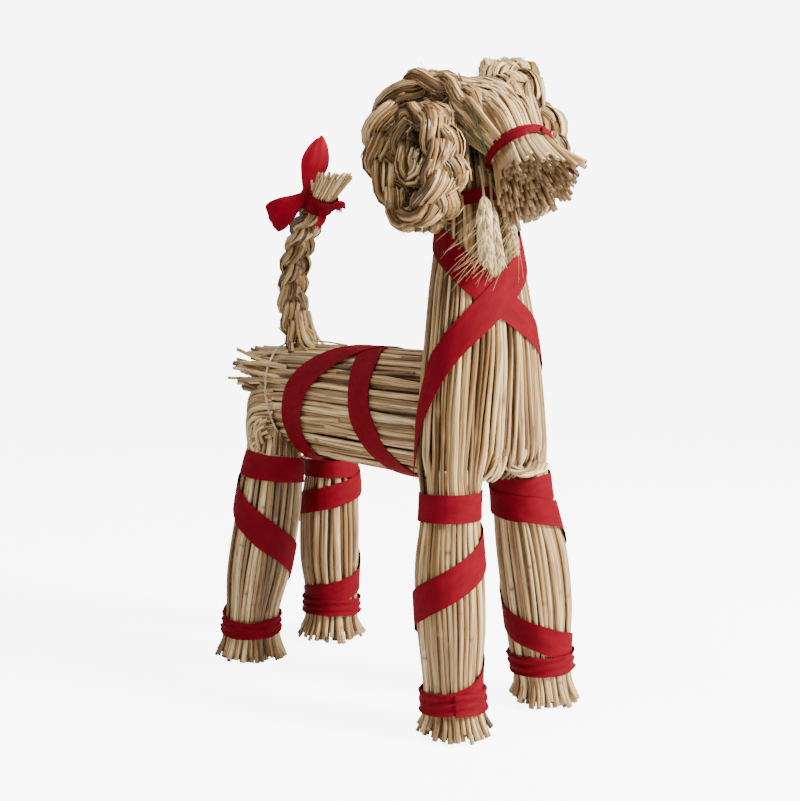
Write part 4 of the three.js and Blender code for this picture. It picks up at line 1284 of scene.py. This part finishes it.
def tail_bow():
    """A tie round the plait, a knot, two loops and two frayed ends."""
    rng, heap = begin(83)
    row = TAIL.at(np.array([BOW_PLACE]))[0]
    centre, axis = row[0:3], row[3:6]
    x_way = np.array([1.0, 0, 0])
    deep = np.cross(axis, x_way)

    def about(sideways, rearward, upward):
        return centre + x_way * sideways + deep * rearward + axis * upward

    turn = np.radians(np.linspace(0, 372, 100))
    for level, wide, push in ((-0.6, 15.0, 0.8), (1.2, 10.0, 1.7)):
        c = ACROSS[None, :]
        drift = wobble(rng, np.degrees(turn), 60.0, 0.6)[:, None]
        fold = push + 0.7 * np.cos(c * 6.5 + drift) + 0.3 * np.cos(c * 16)
        faces = []
        for more in (THICK, 0.0):
            a, b = 14.5 * 0.93 + fold + more, 10 * 0.93 + fold + more
            ring = (centre + x_way * (a * np.cos(turn)[:, None])[..., None]
                    + deep * (b * np.sin(turn)[:, None])[..., None]
                    + axis * (level + c * wide / 2 + 0 * turn[:, None])[..., None])
            faces.append(ring)
        add_strip(heap, faces[0], faces[1], rng)
    knot = about(-13.5, 4, 3)
    ball = np.linspace(0.08, math.pi - 0.08, 14)
    around = np.linspace(0, 2 * np.pi, 25)[:-1]
    pleats = 1 + 0.1 * np.sin(around * 4)[None, :]
    size = 5.3
    rings = knot + np.stack([
        np.sin(ball)[:, None] * np.cos(around)[None, :] * size * pleats,
        np.sin(ball)[:, None] * np.sin(around)[None, :] * size * pleats,
        np.cos(ball)[:, None] * size * (1 + 0 * around[None, :])], -1)
    heap.grid(rings, (0.5, 0.5), np.zeros(14), np.zeros(14), ball * 0.05, around * 0.02)
    pointed = [6, 16, 23, 16, 5, 15, 22, 15, 6]
    blunt = [6, 12, 20, 25, 24, 25, 20, 12, 6]
    open_way = np.array([*AHEAD, 0])

    def loop(reach, across, rows, widths, cup):
        points = [knot + np.asarray(reach) * out + open_way * aside for out, aside in rows]
        free_strip(heap, points, across, widths, rng, cup, 60)

    loop((0.27, -0.06, 0.96), (0.728, -0.685, -0.15),
         [(1, 0), (13, 2), (28, 1), (42, 2), (51, 6), (43, 12), (29, 15), (13, 12), (2, 5)],
         pointed, 2.4)
    loop((-0.60, 0.56, -0.57), (0.30, -0.28, -0.91),
         [(0, -1), (10, -6), (20, -8), (30, -6), (37, 0), (31, 6), (21, 9), (10, 8), (0, 2)],
         blunt, -2.2)
    front = -11.8
    for points, across in (
            ([about(5, front + 0.8, 3), about(10, front - 1, 7), about(13, front - 1, 3)],
             axis),
            ([about(-4, front + 0.8, 0), about(-4, front - 4, -7), about(-4, front - 3, -15)],
             x_way)):
        free_strip(heap, points, across, [7, 9, 9], rng, 0.8, 18, cut=3.0)
        for _ in range(12):
            end = np.asarray(points[2])
            way = unit(end - np.asarray(points[1]))
            start = end + across * rng.uniform(-4, 4)
            stalk(heap, [start - way * 3, start + way * 1.5, start + way * rng.uniform(2, 5)
                         + rng.normal(0, 0.8, 3)], 0.28, rng, 0, (False, False), 5, False)
    return heap


finish_piece(tail_bow(), "ribbon_tail_bow_cloth", RIBBON, ["ribbon_tail_bow"])


# ---- twine ------------------------------------------------------------------------------
def twine_turn():
    """Two plies twisted together, once round the trunk."""
    rng, heap = begin(90)
    for ply in (0, math.pi):
        theta = np.linspace(0, 366, 520)
        base, normal = trunk.at(np.full(520, 108.0), theta, 0.75)
        tangent = unit(np.gradient(base, axis=0))
        side = np.cross(tangent, normal)
        twist = np.radians(theta) * 44 + ply
        slack = wobble(rng, theta, 50.0, 0.3)[:, None]
        path = (base + side * (np.cos(twist)[:, None] * 0.45 + slack)
                + normal * np.sin(twist)[:, None] * 0.45)
        tube(heap, path, normal, 0.54, 0.54, 6, (0.6 + ply * 0.05, 0.5))
    return heap


finish_piece(twine_turn(), "twine_rump_cord", TWINE, ["twine_rump"])


# ---- wheat ------------------------------------------------------------------------------
EARS = [
    [(-24, -122, 407), (-28, -129, 394), (-30, -132, 386), (-30, -134, 356), (-29, -135, 339)],
    [(-15, -124, 402), (-17, -127, 390), (-18, -129, 376), (-19, -134, 354), (-17, -138, 338)],
    [(-10, -120, 398), (-6, -124, 386), (-2, -127, 376), (1, -131, 362), (3, -134, 346)]]
EAR_SIZES = (1.32, 0.95, 0.8)
# angles round the head where the stems of each ear come down the cheek
STEM_LANES = ((197, 190, 181), (202, 152), (186, 140))


def grain(heap, root, way, out, length, girth, rng):
    """One husk: a slim pointed body."""
    s = np.linspace(0, 1, 7)
    path = root + way * (s * length)[:, None] + out * (np.sin(s * 2.6) * girth * 0.5)[:, None]
    size = girth * np.array([0.35, 0.8, 1.0, 0.95, 0.7, 0.4, 0.12])
    straw(heap, path, np.broadcast_to(out, path.shape), size, size * 0.6, 7, rng, 0.22)


def awn(heap, root, way, bend, length, rng):
    """A long stiff hair."""
    s = np.linspace(0, 1, 9)[:, None]
    path = root + way * s * length + bend * s**2 * length * 0.35
    size = np.linspace(0.17, 0.06, 9)
    tube(heap, path, steady_normals(path, (0, -1, 0.3)), size, size, 4, straw_tone(rng, 0.4))


def wheat(index):
    """One ear: stem, grains with their beards, and the stems that run up over the cheek."""
    rng, heap = begin(100 + index)
    path, _ = through(EARS[index], 60)
    start = 21  # the grains begin at this point of the 60
    stem = path[:start + 20]
    tube(heap, stem, steady_normals(stem, (0, -1, 0)), 0.95, 0.95, 7, (0.2, 0.5))
    left_low = np.array([-0.95, 0.05, -0.1])
    for k in range(start, 58, 2):
        tangent = unit(path[min(k + 1, 59)] - path[k - 1])
        side = unit(np.cross(tangent, (0, -1, 0.0)))
        front = np.cross(side, tangent)
        fat = np.interp(k, [start, start + 6, 44, 58], [0.7, 0.95, 0.85, 0.5])
        fat = fat * EAR_SIZES[index]
        for turn in np.arange(5) * 2 * np.pi / 5 + (k // 2) * 0.63 + rng.normal(0, 0.15):
            out = side * math.cos(turn) + front * math.sin(turn)
            way = unit(tangent + out * rng.uniform(0.2, 0.36))
            grain(heap, path[k] + out * 1.2 * fat, way, out, rng.uniform(10, 13) * fat,
                  rng.uniform(1.5, 2.1) * fat, rng)
            if rng.uniform() < 0.62 and out[0] < 0.25:
                tip = path[k] + out * 2.4 * fat + way * 9 * fat
                lean = unit(tangent * 0.6 + out * 0.5 + left_low * rng.uniform(0.4, 1.6))
                sag = np.array([-0.1, 0, -1.0]) * rng.uniform(0.1, 0.9)
                awn(heap, tip, lean, sag, rng.uniform(22, 44) * (1.15 - 0.009 * k), rng)
    for lane in STEM_LANES[index]:
        top, _ = head.at(rng.uniform(1.9, 2.5), lane + rng.uniform(-3, 3), 10.0)
        mid, _ = head.at(3.8, lane * 0.5 + 103, 7.5)
        low, _ = head.at(4.97, 206 + rng.uniform(-4, 4), 2.4)
        stem, _ = through([top, mid, low], 10)
        tube(heap, stem, steady_normals(stem, (-1, 0, 0)), 0.75, 0.75, 7, (0.0, 0.5), None,
             (True, False))
    return heap


for index in range(3):
    finish_piece(wheat(index), f"wheat_ear_{index + 1}_dried", WHEAT, [f"wheat_ear_{index + 1}"])


# ---- stage, light and camera ------------------------------------------------------------
def pale_sweep():
    """A floor that curves up behind the goat."""
    profile = [(-4.0, 0.0), (1.6, 0.0), (2.1, 0.06), (2.5, 0.25), (2.8, 0.6), (2.9, 1.2),
               (2.9, 4.5)]
    away = np.array(AHEAD)
    side = np.array(ASIDE)
    points = []
    for run, height in profile:
        for across in (-5.0, 5.0):
            flat = away * run + side * across
            points.append((flat[0], flat[1], height))
    faces = [(2 * i, 2 * i + 1, 2 * i + 3, 2 * i + 2) for i in range(len(profile) - 1)]
    mesh = bpy.data.meshes.new("pale_sweep")
    mesh.from_pydata(points, [], faces)
    for polygon in mesh.polygons:
        polygon.use_smooth = True
    obj = bpy.data.objects.new("pale_sweep", mesh)
    bpy.context.scene.collection.objects.link(obj)
    material, tree, shader = new_material("pale_sweep")
    shader.inputs["Base Color"].default_value = (0.9, 0.9, 0.9, 1)
    shader.inputs["Roughness"].default_value = 0.95
    shader.inputs["Specular IOR Level"].default_value = 0.0
    shader.inputs["Emission Color"].default_value = (1, 1, 1, 1)
    seen = node(tree, "ShaderNodeLightPath")
    glow = node(tree, "ShaderNodeMath", operation="MULTIPLY")
    glow.inputs[1].default_value = BACKDROP_GLOW
    tree.links.new(seen.outputs["Is Camera Ray"], glow.inputs[0])
    tree.links.new(glow.outputs[0], shader.inputs["Emission Strength"])
    mesh.materials.append(material)
    return obj


def soft_light(name, place, aim, size, power, warmth=(1, 1, 1)):
    """A rectangular lamp that faces `aim`."""
    data = bpy.data.lights.new(name, "AREA")
    data.shape = "RECTANGLE"
    data.size, data.size_y = size
    data.energy = power
    data.color = warmth
    lamp = bpy.data.objects.new(name, data)
    lamp.location = place
    way = mathutils.Vector(aim) - mathutils.Vector(place)
    lamp.rotation_euler = way.to_track_quat("-Z", "Y").to_euler()
    bpy.context.scene.collection.objects.link(lamp)


pale_sweep()
soft_light("key", (0.55, -1.35, 1.1), (0, 0, 0.24), (0.42, 0.42), 89, (1.0, 0.985, 0.955))
soft_light("fill", (-1.6, -0.4, 0.9), (0, 0, 0.22), (1.6, 1.6), 2.5, (0.97, 0.98, 1.0))
soft_light("top", (-0.55, 0.0, 1.65), (0, 0, 0.2), (0.5, 0.5), 15)
soft_light("back", (-0.5, 1.9, 1.3), (0, 0, 0.22), (1.2, 1.2), 7)


def studio_world():
    """Dim light from all round; the camera sees the world as bright as the backdrop."""
    world = bpy.data.worlds.new("studio")
    world.use_nodes = True
    tree = world.node_tree
    background = tree.nodes["Background"]
    background.inputs["Color"].default_value = (1, 1, 1, 1)
    seen = node(tree, "ShaderNodeLightPath")
    strength = node(tree, "ShaderNodeMath", operation="MULTIPLY_ADD")
    strength.inputs[1].default_value = BACKDROP_GLOW
    strength.inputs[2].default_value = WORLD_LIGHT
    tree.links.new(seen.outputs["Is Camera Ray"], strength.inputs[0])
    tree.links.new(strength.outputs[0], background.inputs["Strength"])
    bpy.context.scene.world = world


def photo_camera():
    """The camera that matches the photo's angle."""
    data = bpy.data.cameras.new("photo_angle")
    data.sensor_width = 36
    data.lens = 56.25
    camera = bpy.data.objects.new("photo_angle", data)
    camera.location = (-0.6797, -0.7236, 0.3289)
    camera.rotation_euler = (math.radians(90 - 5.63), 0, math.radians(-43.25))
    bpy.context.scene.collection.objects.link(camera)
    bpy.context.scene.camera = camera


studio_world()
photo_camera()
